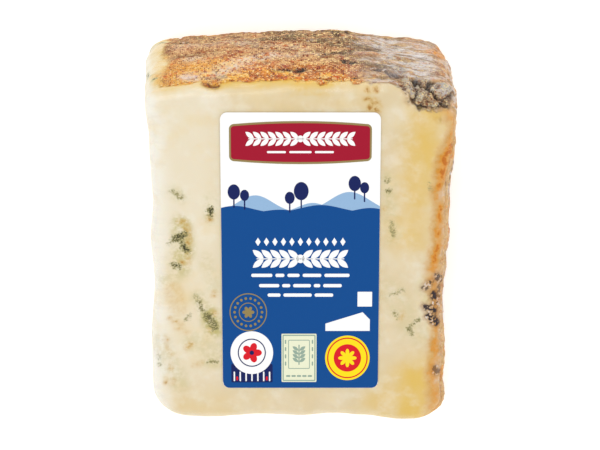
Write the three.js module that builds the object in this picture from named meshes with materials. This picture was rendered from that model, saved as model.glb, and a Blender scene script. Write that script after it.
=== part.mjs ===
// A wedge of blue-veined cheese, shrink-wrapped in clear film, with a printed label on its upper cut face.
//
// The wedge is a sector of a drum of cheese: two radial cuts meet at the drum's axis, the drum's wall is
// the rind at the thick end, one side is a plain cut across the drum and the other is the drum's own end,
// which is rind too. It lies on one radial cut. Units are millimetres.
//
// Frame: origin at the bottom centre of the bounding box. +X runs along the drum's axis, from the plain
// cut to the end rind. +Y runs from the tip to the rind. +Z is up.
import * as THREE from "three";

// ---- driving dimensions ---------------------------------------------------------------------------------
const DRUM_RADIUS = 109.5; // axis to rind, at the fullest place
const WEDGE_ANGLE = THREE.MathUtils.degToRad(29);
const TIP_DISTANCE = 13.3; // axis to the blunted tip
const RIND_END_Y = 48; // where the rind meets the ground, which places the axis
const RIND_FULLEST_X = 3; // the rind bulges most here ...
const RIND_FALL = { plain: 0.0019, end: 0.0038 }; // ... and falls to each side with distance squared, per mm

// Half-widths from the middle plane to each side, as [y, half-width], and the tip's line, as
// [x, push outwards].
const PLAIN_SIDE = [
  [-48, 36.2], [-26, 36.8], [-16, 36.4], [-4, 37.2], [7, 35.9], [20, 36], [31, 37.4], [48, 38],
];
const RIND_SIDE = [
  [-48, 36.8], [-30, 35.6], [-17, 35], [-8, 35.9], [-3, 37], [7, 37], [20, 38.4], [33, 37.8], [48, 37.8],
];
const TIP_LINE = [[-34, 0.3], [-22, 0.8], [-9, -0.1], [0, 0.2], [9, -0.3], [16, 0.3], [25, 1.4], [34, 1]];
const SIDE_SWAY = 0.5; // how far the sides wander between their lower and upper edges

// Rounding where two faces meet under the tight film.
const CORNER_ROUND = { tipPlain: 8.5, tipRind: 7.5, rindPlain: 4.5, rindRind: 6 }; // seen from above
const EDGE_ROUND = { tip: 2.8, rind: 3.2 }; // between those sides and the two cut faces

// The underside is a hair's breadth hollow between four rest points, each some cells in from the edges.
const UNDERSIDE = { hollow: 0.08, restCells: 6 };

// Relief of the rind and of the crumbled corner.
const RIND_DEPTH = 5; // how far in from the drum's wall and end the relief reaches
const WRINKLE = { height: 0.75, length: 9, width: 3.6 };
const KNOBS = { height: 0.45, size: 5.5 };
const PASTE_LUMPS = { height: 0.22, size: 17 };
const CRAG = { x: 31, y: 34, z: 49, reach: 13, height: 1.5, size: 5.2, sink: 0.8 };
const NOTCH = { x: -21, y: 35, z: 52, reach: 5.5, sink: 1.6 };

// The label, on the film over the upper cut face. Its centre is a distance from the axis along that face.
const LABEL = { width: 38.8, length: 78.7, thick: 0.35, round: 1.7, gap: 0.3, x: 0.3, centre: 62.1 };
const LABEL_REST = 3; // the face stays flat this far beyond the label's edges

// Cells of the wedge's grid: [how far this stretch runs, its cells], from one side to the other, as shares.
const CELLS_X = [[0.08, 5], [0.74, 21], [0.18, 10]];
const CELLS_R = [[0.05, 4], [0.83, 25], [0.12, 8]];
const CELLS_A = [[0.09, 3], [0.82, 9], [0.09, 3]];

const PASTE_COLOUR = 0xe6d6ae;
const LABEL_COLOUR = 0x17508e;

// ---- small helpers -------------------------------------------------------------------------------------
const { clamp, lerp, smoothstep } = THREE.MathUtils;

const fract = (v) => v - Math.floor(v);

const hash = (i, j, k, seed) => fract(Math.sin(i * 127.1 + j * 311.7 + k * 74.7 + seed * 53.3) * 43758.5453);

// Value noise from -1 to 1 on a unit lattice.
function noise(x, y, z, seed) {
  const [i, j, k] = [Math.floor(x), Math.floor(y), Math.floor(z)];
  const [u, v, w] = [x - i, y - j, z - k].map((t) => t * t * (3 - 2 * t));
  const row = (dj, dk) => lerp(hash(i, j + dj, k + dk, seed), hash(i + 1, j + dj, k + dk, seed), u);
  const slab = (dk) => lerp(row(0, dk), row(1, dk), v);
  return 2 * lerp(slab(0), slab(1), w) - 1;
}

// A smooth line through [place, value] pairs, level beyond both ends.
function along(pairs, place) {
  const last = pairs.length - 1;
  if (place <= pairs[0][0]) return pairs[0][1];
  if (place >= pairs[last][0]) return pairs[last][1];
  const n = pairs.findIndex(([at]) => at > place);
  const t = (place - pairs[n - 1][0]) / (pairs[n][0] - pairs[n - 1][0]);
  return lerp(pairs[n - 1][1], pairs[n][1], t * t * (3 - 2 * t));
}

// Distance outside the common part of several faces, given each face's own distance, rounded where they meet.
function within(distances, round) {
  const outside = Math.hypot(...distances.map((d) => Math.max(d + round, 0)));
  return outside > 0 ? outside - round : Math.max(...distances);
}

// ---- the wedge's smooth form ---------------------------------------------------------------------------
const axisY = RIND_END_Y - DRUM_RADIUS;
const sinA = Math.sin(WEDGE_ANGLE);
const cosA = Math.cos(WEDGE_ANGLE);

function rindRadius(x) {
  const fall = x < RIND_FULLEST_X ? RIND_FALL.plain : RIND_FALL.end;
  return DRUM_RADIUS - fall * (x - RIND_FULLEST_X) ** 2;
}

const sway = (y, z) => SIDE_SWAY * Math.sin(z / 12 + y / 17);

const plainSide = (y, z) => -along(PLAIN_SIDE, y) + sway(y, z);

const rindSide = (y, z) => along(RIND_SIDE, y) + sway(y + 25, z);

const tipDistance = (x) => TIP_DISTANCE - along(TIP_LINE, x);

// How far a point is outside the wedge, in mm, and below zero inside.
function outside(x, y, z) {
  const fromAxis = Math.hypot(y - axisY, z);
  const alongWedge = (y - axisY) * Math.cos(WEDGE_ANGLE / 2) + z * Math.sin(WEDGE_ANGLE / 2);
  const toRind = smoothstep(y, -30, 30);
  const toEnd = smoothstep(x, -12, 12);
  const corner = lerp(
    lerp(CORNER_ROUND.tipPlain, CORNER_ROUND.tipRind, toEnd),
    lerp(CORNER_ROUND.rindPlain, CORNER_ROUND.rindRind, toEnd),
    toRind,
  );
  const walls = [
    plainSide(y, z) - x,
    x - rindSide(y, z),
    fromAxis - rindRadius(x),
    tipDistance(x) - alongWedge,
  ];
  const cuts = [-z, z * cosA - (y - axisY) * sinA];
  return within([within(walls, corner), ...cuts], lerp(EDGE_ROUND.tip, EDGE_ROUND.rind, toRind));
}

// The direction in which outside() grows fastest.
function outwards(x, y, z) {
  const h = 0.01;
  return new THREE.Vector3(
    outside(x + h, y, z) - outside(x - h, y, z),
    outside(x, y + h, z) - outside(x, y - h, z),
    outside(x, y, z + h) - outside(x, y, z - h),
  ).divideScalar(2 * h);
}

// ---- relief --------------------------------------------------------------------------------------------
// 1 on the drum's wall and end, 0 on the cut faces away from them.
function rindShare(x, y, z) {
  const wall = smoothstep(Math.hypot(y - axisY, z) - rindRadius(x), -RIND_DEPTH, -1);
  const end = smoothstep(x - rindSide(y, z), -RIND_DEPTH, -1);
  return Math.max(wall, end);
}

// 0 where the label lies on the upper face, 1 well clear of it.
function clearOfLabel(x, y, z) {
  const reach = (y - axisY) * cosA + z * sinA - LABEL.centre;
  const beyond = Math.max(Math.abs(x - LABEL.x) - LABEL.width / 2, Math.abs(reach) - LABEL.length / 2);
  const above = z * cosA - (y - axisY) * sinA > -6;
  return above ? smoothstep(beyond, LABEL_REST, LABEL_REST + 4) : 1;
}

function nearness(spot, x, y, z) {
  return 1 - smoothstep(Math.hypot(x - spot.x, y - spot.y, z - spot.z), 0, spot.reach);
}

// Height of the relief over the smooth form, in mm.
function relief(x, y, z) {
  const rind = rindShare(x, y, z);
  const round = Math.atan2(z, y - axisY) * DRUM_RADIUS;
  const wrinkles = WRINKLE.height * noise(x / WRINKLE.length, round / WRINKLE.width, y / 11, 1);
  const lumpy = (size, seed) => noise(x / size, y / size, z / size, seed);
  const knobs = KNOBS.height * lumpy(KNOBS.size, 2);
  const lumps = PASTE_LUMPS.height * lumpy(PASTE_LUMPS.size, 3);
  const crag = nearness(CRAG, x, y, z);
  const clods = Math.abs(lumpy(CRAG.size, 4)) * 2 - CRAG.sink;
  const notch = nearness(NOTCH, x, y, z) * NOTCH.sink;
  const height = rind * (wrinkles + knobs) + lumps + crag * clods * CRAG.height - notch;
  return height * clearOfLabel(x, y, z) * smoothstep(z, 1, 6);
}

// ---- the wedge's mesh ----------------------------------------------------------------------------------
// Places from 0 to 1 for one way of the grid.
function stations(cells) {
  const places = [0];
  let start = 0;
  for (const [share, count] of cells) {
    for (let n = 1; n <= count; n++) places.push(start + (share * n) / count);
    start += share;
  }
  return places;
}

// A point of the sharp-edged sector, moved onto the rounded form and then out or in by the relief.
function settle(shareX, shareR, shareA) {
  const angle = shareA * WEDGE_ANGLE;
  const middleX = lerp(-36, 36, shareX);
  const radius = lerp(tipDistance(middleX), rindRadius(middleX), shareR);
  const y = axisY + radius * Math.cos(angle);
  const z = radius * Math.sin(angle);
  const p = new THREE.Vector3(lerp(plainSide(y, z), rindSide(y, z), shareX), y, z);
  for (let n = 0; n < 14; n++) {
    const slope = outwards(p.x, p.y, p.z);
    p.addScaledVector(slope, -outside(p.x, p.y, p.z) / Math.max(slope.lengthSq(), 0.2));
  }
  const normal = outwards(p.x, p.y, p.z).normalize();
  return p.addScaledVector(normal, relief(p.x, p.y, p.z));
}

// The six faces of a box grid, settled onto the wedge. Each grid point of the box's surface is one vertex.
function wedgeGeometry() {
  const [sx, sr, sa] = [stations(CELLS_X), stations(CELLS_R), stations(CELLS_A)];
  const [nx, nr, na] = [sx.length - 1, sr.length - 1, sa.length - 1];
  const vertices = [];
  const known = new Map();
  const rests = (n, cells) => n === UNDERSIDE.restCells || n === cells - UNDERSIDE.restCells;
  const vertex = (i, j, k) => {
    const key = (i * (nr + 1) + j) * (na + 1) + k;
    if (!known.has(key)) {
      known.set(key, vertices.length / 3);
      const p = settle(sx[i], sr[j], sa[k]);
      if (k === 0) p.setZ(rests(i, nx) && rests(j, nr) ? 0 : Math.max(p.z, UNDERSIDE.hollow));
      vertices.push(...p.toArray());
    }
    return known.get(key);
  };
  const index = [];
  const quad = (a, b, c, d) => index.push(a, b, c, a, c, d);
  for (let i = 0; i < nx; i++) {
    for (let j = 0; j < nr; j++) {
      quad(vertex(i, j, 0), vertex(i, j + 1, 0), vertex(i + 1, j + 1, 0), vertex(i + 1, j, 0));
      quad(vertex(i, j, na), vertex(i + 1, j, na), vertex(i + 1, j + 1, na), vertex(i, j + 1, na));
    }
    for (let k = 0; k < na; k++) {
      quad(vertex(i, 0, k), vertex(i + 1, 0, k), vertex(i + 1, 0, k + 1), vertex(i, 0, k + 1));
      quad(vertex(i, nr, k), vertex(i, nr, k + 1), vertex(i + 1, nr, k + 1), vertex(i + 1, nr, k));
    }
  }
  for (let j = 0; j < nr; j++) {
    for (let k = 0; k < na; k++) {
      quad(vertex(0, j, k), vertex(0, j, k + 1), vertex(0, j + 1, k + 1), vertex(0, j + 1, k));
      quad(vertex(nx, j, k), vertex(nx, j + 1, k), vertex(nx, j + 1, k + 1), vertex(nx, j, k + 1));
    }
  }
  const geometry = new THREE.BufferGeometry();
  geometry.setAttribute("position", new THREE.Float32BufferAttribute(vertices, 3));
  geometry.setIndex(index);
  geometry.computeVertexNormals();
  return geometry;
}

// The middle of the geometry's box in X and Y, so that the origin can stand under it.
function middleOf(geometry) {
  geometry.computeBoundingBox();
  const { min, max } = geometry.boundingBox;
  return new THREE.Vector3((min.x + max.x) / 2, (min.y + max.y) / 2, min.z);
}

// ---- the label's mesh ----------------------------------------------------------------------------------
function roundedRectangle(width, length, round) {
  const [w, l] = [width / 2, length / 2];
  const shape = new THREE.Shape();
  shape.moveTo(-w + round, -l);
  shape.absarc(w - round, -l + round, round, -Math.PI / 2, 0);
  shape.absarc(w - round, l - round, round, 0, Math.PI / 2);
  shape.absarc(-w + round, l - round, round, Math.PI / 2, Math.PI);
  shape.absarc(-w + round, -l + round, round, Math.PI, Math.PI * 1.5);
  return shape;
}

function labelGeometry() {
  const outline = roundedRectangle(LABEL.width, LABEL.length, LABEL.round);
  return new THREE.ExtrudeGeometry(outline, { depth: LABEL.thick, bevelEnabled: false, curveSegments: 6 });
}

// ---- the object ----------------------------------------------------------------------------------------
const matte = (color, roughness) => new THREE.MeshStandardMaterial({ color, roughness, metalness: 0 });

const wedge = new THREE.Mesh(wedgeGeometry(), matte(PASTE_COLOUR, 0.45));
wedge.name = "wedge";

const label = new THREE.Mesh(labelGeometry(), matte(LABEL_COLOUR, 0.35));
label.name = "label";
label.position.set(LABEL.x, LABEL.centre, LABEL.gap);

// The upper cut face's own frame: Y runs up the face from the axis, Z stands out of it.
const upperFace = new THREE.Group();
upperFace.position.set(0, axisY, 0);
upperFace.rotation.x = WEDGE_ANGLE;
upperFace.add(label);

const pack = new THREE.Group();
pack.add(wedge, upperFace);
pack.position.copy(middleOf(wedge.geometry)).negate();

const object = new THREE.Group();
object.add(pack);

export default object;
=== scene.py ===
"""Dresses the solid model of a wedge of blue-veined cheese in film: paste, rind, film and printed label.

Shapes are worked out in millimetres around the drum of cheese that the wedge was cut from: x runs along the
drum's axis, y away from it over the ground and z up. They are moved into the frame and into metres as each
mesh is made.
"""
import functools
import itertools
import math

import bpy
import numpy as np
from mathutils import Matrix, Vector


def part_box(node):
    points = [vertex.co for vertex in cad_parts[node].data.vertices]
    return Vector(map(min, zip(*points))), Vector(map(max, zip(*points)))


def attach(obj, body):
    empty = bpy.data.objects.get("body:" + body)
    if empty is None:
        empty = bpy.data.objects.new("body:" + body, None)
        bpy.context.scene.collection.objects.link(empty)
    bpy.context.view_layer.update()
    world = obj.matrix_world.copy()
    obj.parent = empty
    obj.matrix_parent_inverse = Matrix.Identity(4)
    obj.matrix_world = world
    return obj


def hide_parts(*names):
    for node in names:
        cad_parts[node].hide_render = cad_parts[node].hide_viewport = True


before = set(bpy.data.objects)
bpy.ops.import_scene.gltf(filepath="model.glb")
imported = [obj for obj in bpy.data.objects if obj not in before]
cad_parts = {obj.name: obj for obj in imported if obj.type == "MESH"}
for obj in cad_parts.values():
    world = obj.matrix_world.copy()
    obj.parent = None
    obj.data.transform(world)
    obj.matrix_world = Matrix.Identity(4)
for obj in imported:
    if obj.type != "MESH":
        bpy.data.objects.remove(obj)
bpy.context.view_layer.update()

bl_info = {
    "name": "Wrapped Cheese Wedge",
    "version": (1, 0, 0),
    "blender": (4, 5, 0),
    "location": "3D View > Sidebar > Cheese",
    "description": "Builds a film-wrapped wedge of blue cheese with its label",
    "category": "Add Mesh",
}

MM = 0.001

# ---- the solid's driving dimensions, in mm -------------------------------------------------------
DRUM_RADIUS = 109.5
WEDGE_ANGLE = math.radians(29)
TIP_DISTANCE = 13.3
RIND_END_Y = 48
RIND_FULLEST_X = 3
RIND_FALL_PLAIN, RIND_FALL_END = 0.0019, 0.0038
PLAIN_SIDE = ((-48, 36.2), (-26, 36.8), (-16, 36.4), (-4, 37.2), (7, 35.9), (20, 36), (31, 37.4), (48, 38))
RIND_SIDE = (
    (-48, 36.8), (-30, 35.6), (-17, 35), (-8, 35.9), (-3, 37), (7, 37), (20, 38.4), (33, 37.8), (48, 37.8),
)
TIP_LINE = ((-34, 0.3), (-22, 0.8), (-9, -0.1), (0, 0.2), (9, -0.3), (16, 0.3), (25, 1.4), (34, 1))
SIDE_SWAY = 0.5
HALF_ACROSS = 36
CORNER_TIP_PLAIN, CORNER_TIP_RIND, CORNER_RIND_PLAIN, CORNER_RIND_RIND = 8.5, 7.5, 4.5, 6
EDGE_ROUND_TIP, EDGE_ROUND_RIND = 2.8, 3.2
ROUNDING_EASE_X, ROUNDING_EASE_Y = 12, 30
UNDERSIDE_HOLLOW = 0.08
RIND_DEPTH = 5
WRINKLE_HEIGHT, WRINKLE_LENGTH, WRINKLE_WIDTH, WRINKLE_DRIFT = 0.75, 9, 3.6, 11
KNOB_HEIGHT, KNOB_SIZE = 0.45, 5.5
LUMP_HEIGHT, LUMP_SIZE = 0.22, 17
CRAG_SPOT, CRAG_REACH, CRAG_HEIGHT, CRAG_SIZE, CRAG_SINK = (31, 34, 49), 13, 1.5, 5.2, 0.8
NOTCH_SPOT, NOTCH_REACH, NOTCH_SINK = (-21, 35, 52), 5.5, 1.6
LABEL_WIDTH, LABEL_LENGTH, LABEL_ROUND = 38.8, 78.7, 1.7
LABEL_X, LABEL_CENTRE, LABEL_GAP, LABEL_THICK = 0.3, 62.1, 0.3, 0.35
# There is no relief up to LABEL_REST past the label's edge, and all of it from LABEL_CLEAR on.
LABEL_REST, LABEL_CLEAR, LABEL_BED = 3, 7, 6
# Heights over the ground between which the relief sets in.
RELIEF_FADE = (1, 6)

AXIS_Y = RIND_END_Y - DRUM_RADIUS
SIN_A, COS_A = math.sin(WEDGE_ANGLE), math.cos(WEDGE_ANGLE)

# ---- what the scene adds to the solid, in mm -----------------------------------------------------
UNDER_FILM = 0.25
UNDERSIDE_GAP = 0.1
FINE_FADE = (0.6, 3)
CRUST_HEIGHT, CRUST_SIZE, CRUST_SINK, SAND_HEIGHT = 0.34, 2.4, 0.12, 0.2
PIT_DEPTH, PIT_SIZE = 0.5, 2
CLOD_HEIGHT, CLOD_TONE_HEIGHT, CLOD_SINK, CLOD_SIZE = 0.9, 1.1, 1.6, 2.0
VEIN_SINK = 0.4
RIND_BELOW_CUT, RIND_ABOVE_GROUND, RIND_START_X, WALL_SKIN = 3, 1.6, -32.5, 1.5
CRAG_START_X, CRAG_FOOT = 14, 47.4
# A gap so wide that what is drawn by it doesn't show.
FAR = 9.0
# Each layer of fractal noise is as high as the last by LAYER_FALL; LAYER_SPREAD brings their sum to about 1.
LAYER_FALL, LAYER_SPREAD = 0.55, 1.35

# ---- shares and strengths of the materials -------------------------------------------------------
FILM_MIRROR_MOST = 0.024
# The film's milk-white is partly real milkiness and partly painted glare, sheen and reflection.
HAZE_AND_GLARE_MOST = 0.6
FLOOR_GLOW = 0.35

# ---- the stage -----------------------------------------------------------------------------------
# Round lamps: (name, place and size in metres, share of the key light's power).
LAMPS = (
    ("key", (-0.35, -0.3, 1.2), 0.9, 1),
    ("fill", (0.75, -0.1, 0.95), 0.7, 0.35),
    ("rim", (0.1, 0.9, 0.7), 0.6, 0.45),
)
LAMP_AIM = (0, 0, 0.02)
# The camera's aim in mm, the nearest and farthest that it sees in metres, and its sensor's width in mm.
CAMERA_AIM = (-0.07, 0.4, 20)
CAMERA_REACH = (0.05, 20)
SENSOR_WIDTH = 36

# ---- the fine grid of cheese and film: (share of the way, cells), from one side to the other -----
CELLS_X = ((0.25, 42), (0.50, 74), (0.25, 54))
CELLS_R = ((0.06, 12), (0.79, 70), (0.15, 38))
CELLS_A = ((0.12, 14), (0.76, 72), (0.12, 14))
SETTLING_STEPS = 14

# ---- where veins, stains and cracks run ----------------------------------------------------------
# Each is a straight run with round ends. On the upper cut face it is given as
# (x, up the face, x, up the face, half-width, strength).
VEINS = (
    (-31.1, 79.7, -28.8, 77.3, 0.3, 0.45), (-29.8, 78.7, -28.5, 79, 0.25, 0.4),
    (-21.6, 74.4, -21.7, 72.8, 0.45, 1), (-32.1, 64.4, -30.7, 65.8, 0.35, 0.5),
    (-30.7, 65.8, -28.1, 67, 0.65, 0.9), (-28.8, 65, -28.3, 63.9, 0.45, 0.7),
    (-28.3, 63.9, -27.5, 62.1, 0.45, 0.95), (-30.8, 58.6, -29.5, 57.7, 0.5, 0.85),
    (-24.8, 48.1, -24.2, 45.8, 0.3, 0.75), (-24.2, 45.8, -22.7, 44.3, 0.35, 0.65),
    (-22.6, 43.5, -21, 40.6, 0.9, 0.65), (-28.1, 42.7, -26.9, 43.8, 0.4, 0.45),
    (-22.3, 30, -20.6, 30.3, 0.3, 0.5), (-35.3, 31.7, -35.2, 31.5, 0.4, 0.4),
    (-35.2, 29.4, -35.2, 29.2, 0.4, 0.4), (21.2, 82.4, 21.4, 82.3, 0.55, 0.5),
    (21.7, 79.6, 21.8, 79.5, 0.5, 0.7), (22.5, 70.9, 23.2, 66.6, 0.25, 0.45),
    (31.5, 81.5, 31.9, 79.9, 0.3, 0.4), (22.5, 49.9, 25.9, 51.2, 0.2, 0.45),
    (27.8, 38.2, 27.2, 40.2, 0.25, 0.75), (27.2, 40.2, 29.7, 42.6, 0.16, 0.6),
    (23.6, 44.8, 24.2, 43, 0.25, 0.45), (-25.6, 49.6, -25, 48.4, 0.3, 0.4),
)
# Crumbled dark flecks beside the end rind.
FLECKS = (
    (31, 51.9, 32.4, 53.2, 0.9, 0.8), (34, 55.2, 34.8, 53.6, 0.8, 0.8), (33, 50.2, 33.9, 47.4, 0.8, 1),
    (31, 46.4, 33.6, 45.2, 0.75, 1), (32.2, 43.6, 34, 41.6, 1.05, 1), (34, 28, 34.5, 27, 1, 0.6),
    (34.4, 52, 35, 46, 0.5, 0.6), (19.6, 109.3, 24.2, 108.9, 0.5, 0.8), (25, 108, 26.4, 104, 0.35, 0.6),
    (-22.2, 108.4, -20.4, 108.2, 0.5, 0.45),
)
# The same on the drum's wall: (x, degrees up from the ground, x, degrees, half-width in mm, strength).
WALL_FLECKS = (
    (17.8, 25.2, 24.2, 27.2, 0.8, 0.75), (2, 12.4, 3.2, 12.6, 0.4, 0.7), (6.6, 13.2, 11.6, 13.4, 0.6, 0.8),
    (-4.6, 11.6, -2.6, 11.8, 0.45, 0.7), (11, 16, 17.4, 17, 0.5, 0.5), (-31, 14.8, -27.5, 14.4, 0.5, 0.6),
    (14, 25, 16.6, 26.2, 0.4, 0.6), (-22, 28.8, -20.2, 29, 1.2, 0.55),
)
# Soft grey-green mould around the veins.
HALOS = (
    (-28.9, 70, -28.2, 62, 2.5, 0.7), (-30.2, 60, -29, 57, 2.2, 0.6), (-33.6, 54, -29.5, 55.6, 1.7, 0.35),
    (-22.4, 44.2, -21.2, 39.6, 2.2, 0.9), (-25, 49, -23, 45, 1.7, 0.5),
    (-31.2, 79.4, -28.6, 77.6, 1.5, 0.4), (-21.6, 77, -21.8, 71.5, 1.4, 0.45),
    (-22.4, 30.6, -20.4, 30, 1.6, 0.5), (-34.6, 36, -30, 24, 2.6, 0.3), (31, 52.6, 33.4, 44, 2.2, 0.3),
    (22.6, 51, 29, 39, 3.4, 0.22), (21.4, 83, 23, 66, 1.6, 0.35), (-26, 36, -21, 33, 3, 0.3),
    (-23, 60, -21, 52, 2, 0.25),
)
# Ochre: oil and age in the paste, mostly beside veins.
STAINS = (
    (-29.1, 70.8, -28, 70.4, 0.8, 0.6), (-27.5, 69.1, -27.1, 64.5, 1, 0.6),
    (-28.8, 59.1, -28.6, 58.8, 0.6, 0.8), (-21.8, 72, -21.8, 71.7, 0.8, 0.8),
    (-32.2, 42.9, -29, 41.2, 0.5, 0.6), (-33.1, 36.9, -33, 36.3, 0.6, 0.7),
    (-32.7, 34.2, -31.8, 32.4, 0.6, 0.4), (-26.9, 35.5, -28, 34.2, 0.7, 0.6),
    (-26.3, 29.4, -24.4, 29.7, 0.6, 0.5), (-32.1, 28.6, -32, 28.2, 0.6, 0.5),
    (-33.4, 24.5, -33.3, 24, 0.6, 0.7), (-32.1, 24, -31.4, 24.6, 0.7, 0.5),
    (-21.1, 50.1, -20.9, 50, 0.7, 0.7), (-21.2, 44.5, -20.9, 44.4, 0.7, 0.7),
    (-22.2, 39.8, -22, 39.6, 0.6, 0.6), (16.2, 107.4, 16.7, 107, 0.5, 1),
    (18.1, 107.5, 18.7, 107.1, 0.5, 1), (15.8, 104.9, 16.6, 105.2, 0.5, 0.9),
    (17.2, 103.4, 17, 102.4, 0.6, 1), (18.2, 104.3, 18.7, 103.7, 0.4, 0.9),
    (18.3, 102.2, 18.7, 102, 0.6, 1), (18, 103.8, 18.4, 102.4, 1.7, 0.5),
    (24.9, 42.5, 25.7, 44.2, 0.5, 0.5), (20.7, 74.4, 20.8, 74.2, 0.4, 0.7),
    (-27.4, 62.6, -27.2, 59, 0.8, 0.4), (-31.1, 51, -30, 46, 2.4, 0.25), (31, 103, 34, 99, 1, 0.5),
    (-30.8, 40.4, -27.4, 38.6, 0.5, 0.4),
)
# Golden paste, as for veins.
GOLD = (
    (30.5, 101, 30.8, 88, 4, 0.8), (30, 92, 29, 70, 3.4, 0.7), (28.6, 91, 27, 66, 3.8, 0.7),
    (29.5, 26, 29.5, 16, 6.2, 0.85), (25, 21, 21, 15, 5, 0.55), (-34, 18.5, -20, 16.5, 3.5, 0.3),
    (-14, 104, 15, 104, 3.5, 0.2), (-33, 56, -29.5, 48, 3, 0.42), (-30, 40, -26, 33, 2, 0.25),
)
# On the drum's wall: (x, degrees up from the ground, x, degrees, half-width, depth), widths in mm.
CRACKS = (
    (-4.6, 24.6, 0.9, 24.1, 0.6, 1.1), (8.4, 19, 11, 19.8, 0.85, 1.1), (10.9, 22.3, 12.8, 22.9, 0.55, 0.8),
    (12.1, 18.4, 17.2, 17.5, 0.45, 0.7), (5.2, 27.3, 6.2, 27.2, 0.45, 0.6),
    (13.1, 27.4, 14.1, 27, 0.45, 0.6), (-30.9, 15.3, -28.2, 15, 0.4, 0.7), (-13, 16.2, -8, 16.6, 0.25, 0.4),
    (-9, 12, -4.6, 11.4, 0.2, 0.4), (-4.6, 11.4, 1, 11.6, 0.3, 0.5), (20, 14, 24, 14.4, 0.2, 0.4),
    (-23, 11.4, -19.4, 11, 0.3, 0.6), (3, 5.5, 7.6, 5.2, 0.25, 0.5), (7.6, 5.2, 12, 6.5, 0.35, 0.6),
)
# Darker places of the rind, several along the cracks: (x, degrees, x, degrees, half-width in mm, strength).
DUSK = (
    (-9, 11.3, 0.5, 9.8, 1.8, 0.9), (4, 12.6, 12.5, 13.6, 2.2, 1), (6, 20.6, 12, 19, 1.4, 0.9),
    (16.5, 25, 24, 25.4, 2, 0.6), (13, 23, 19, 24.6, 1.4, 0.8), (14.8, 8.8, 25, 12.1, 1.6, 0.7),
    (-22.4, 27, -18.4, 27.2, 1, 0.55), (17.6, 24.2, 24.6, 26, 1.5, 0.7), (9, 15, 18, 17.6, 2.4, 0.85),
    (11, 20.6, 18, 21.4, 1.8, 0.6), (17, 13, 24, 16, 1, 0.6), (19, 20.4, 27, 22.6, 0.5, 0.5),
    (20, 11, 33, 16, 0.5, 0.5), (-5.5, 25, 1, 24.4, 1, 0.8), (-31.2, 15.6, -27, 15.2, 1.2, 0.6),
    (0, 18.4, 5, 17.8, 1.2, 0.4), (11, 18.6, 18, 18, 0.9, 0.7), (6, 19.2, 12, 20.2, 1.5, 0.7),
    (-25, 10.8, -22.6, 10.6, 1.2, 0.7),
)
# Dry pinkish, rusty and ochre places of the rind, as for dusk.
CHALK = (
    (-22, 26.8, -18.8, 27, 1.1, 1), (-20, 25.6, -12, 21.4, 2.2, 0.9), (-12, 21.4, -6, 19.6, 1.8, 0.8),
    # The first stroke on the next line lies under the film's glare at the left and paints it pale as well:
    # painted highlight.
    (-27.4, 26.8, -25, 27.3, 1.1, 1), (-27.2, 21.6, -25, 21, 0.9, 1), (-27, 25.4, -15, 25.6, 0.6, 0.8),
    (-7, 19.6, -1, 20.2, 1, 0.6), (0.8, 19, 5.4, 19.6, 1.1, 0.9), (-14.5, 11.5, -10.5, 11.5, 0.7, 0.8),
    (-27, 22.4, -23, 22, 0.6, 0.6), (-8, 15.5, 2, 16.5, 1.2, 0.4), (6, 24.4, 13, 25.4, 0.5, 0.4),
    (-29, 17.5, -12, 15, 2.4, 0.45),
)
RUST = (
    (-2, 23.6, 14, 24.8, 2.4, 1), (-19, 21.2, -14.5, 19, 0.8, 0.9), (-1, 26.8, 12, 27, 1.2, 0.6),
    (-30, 18.6, -18, 18, 1, 0.5), (-25, 24, -20, 24.2, 1, 0.5), (-23.6, 28.9, -19.6, 28.9, 1.2, 0.8),
)
OCHRE = (
    (33, 18.6, 36.2, 21.6, 1.5, 1), (-30.3, 23, -24.3, 22.9, 1.4, 0.9), (-33.6, 26.2, -31, 27.6, 1, 0.7),
    (12.6, 20.6, 18.5, 20.6, 1.7, 0.9), (16, 9, 24.6, 11.6, 1.6, 0.6), (24.6, 11.6, 34, 18.6, 1.4, 0.6),
    (-32, 25, -27, 23, 2, 0.6),
)
# Milky glare of the film on the wall, as for dusk.
GLARE = (
    (-28, 26.9, -25.4, 26.8, 1.3, 0.4), (22, 18.6, 29, 20.6, 2.2, 0.5), (25, 22.9, 32, 24.8, 1.3, 0.45),
    (-12, 24.6, -4, 22.8, 0.8, 0.2), (18, 16, 26, 17, 1.2, 0.25), (23, 13.6, 33, 16.6, 1.6, 0.3),
)
# Bits of rind on the upper face below its edge, as for veins.
BLOTCHES = (
    (-22.6, 110.6, -20.2, 109.8, 0.9, 1), (5.4, 109.5, 6.2, 109.5, 0.4, 1),
    (13.2, 109.5, 14, 109.4, 0.4, 1),
)
# The orange line under the end's skin, along the upper face's edge: (y, depth in mm, half-width, strength).
END_LINE = (
    (-46, 2.3, 1.4, 0.4), (-43, 2.7, 0.9, 0.6), (-39, 3, 0.8, 0.6), (-35.5, 2.6, 0.8, 0.7),
    (-33, 1.9, 0.6, 0.8), (-31, 2.1, 0.7, 0.9), (-27.5, 1.9, 0.4, 0.7), (-23.5, 1.5, 0.4, 0.5),
    (-19.5, 1.1, 0.7, 0.8), (-15.5, 1.9, 0.8, 0.6), (-13.5, 2.8, 0.5, 0.6), (-9.5, 2.5, 0.9, 0.9),
    (-5.5, 2.1, 0.6, 0.9), (-2, 2.5, 0.8, 0.9), (2, 2.3, 0.5, 0.9), (4.5, 2, 0.7, 1), (6.5, 3.1, 0.5, 0.7),
    (8.5, 2.7, 0.7, 0.8), (10.5, 2.2, 1.1, 1), (14, 2.4, 1.5, 1), (18, 2.1, 1.3, 1), (20.5, 1.2, 1, 0.9),
    (24, 1, 0.6, 0.7), (27, 1.8, 1.2, 0.35),
)
# How far down the upper face the crumbled corner reaches, as (x, up the face).
CRAG_EDGE = (
    (12, 118), (15.5, 112), (17.5, 108.8), (23, 108.4), (25.9, 107), (27.3, 103.2), (28.8, 101.6),
    (37, 102),
)
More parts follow.
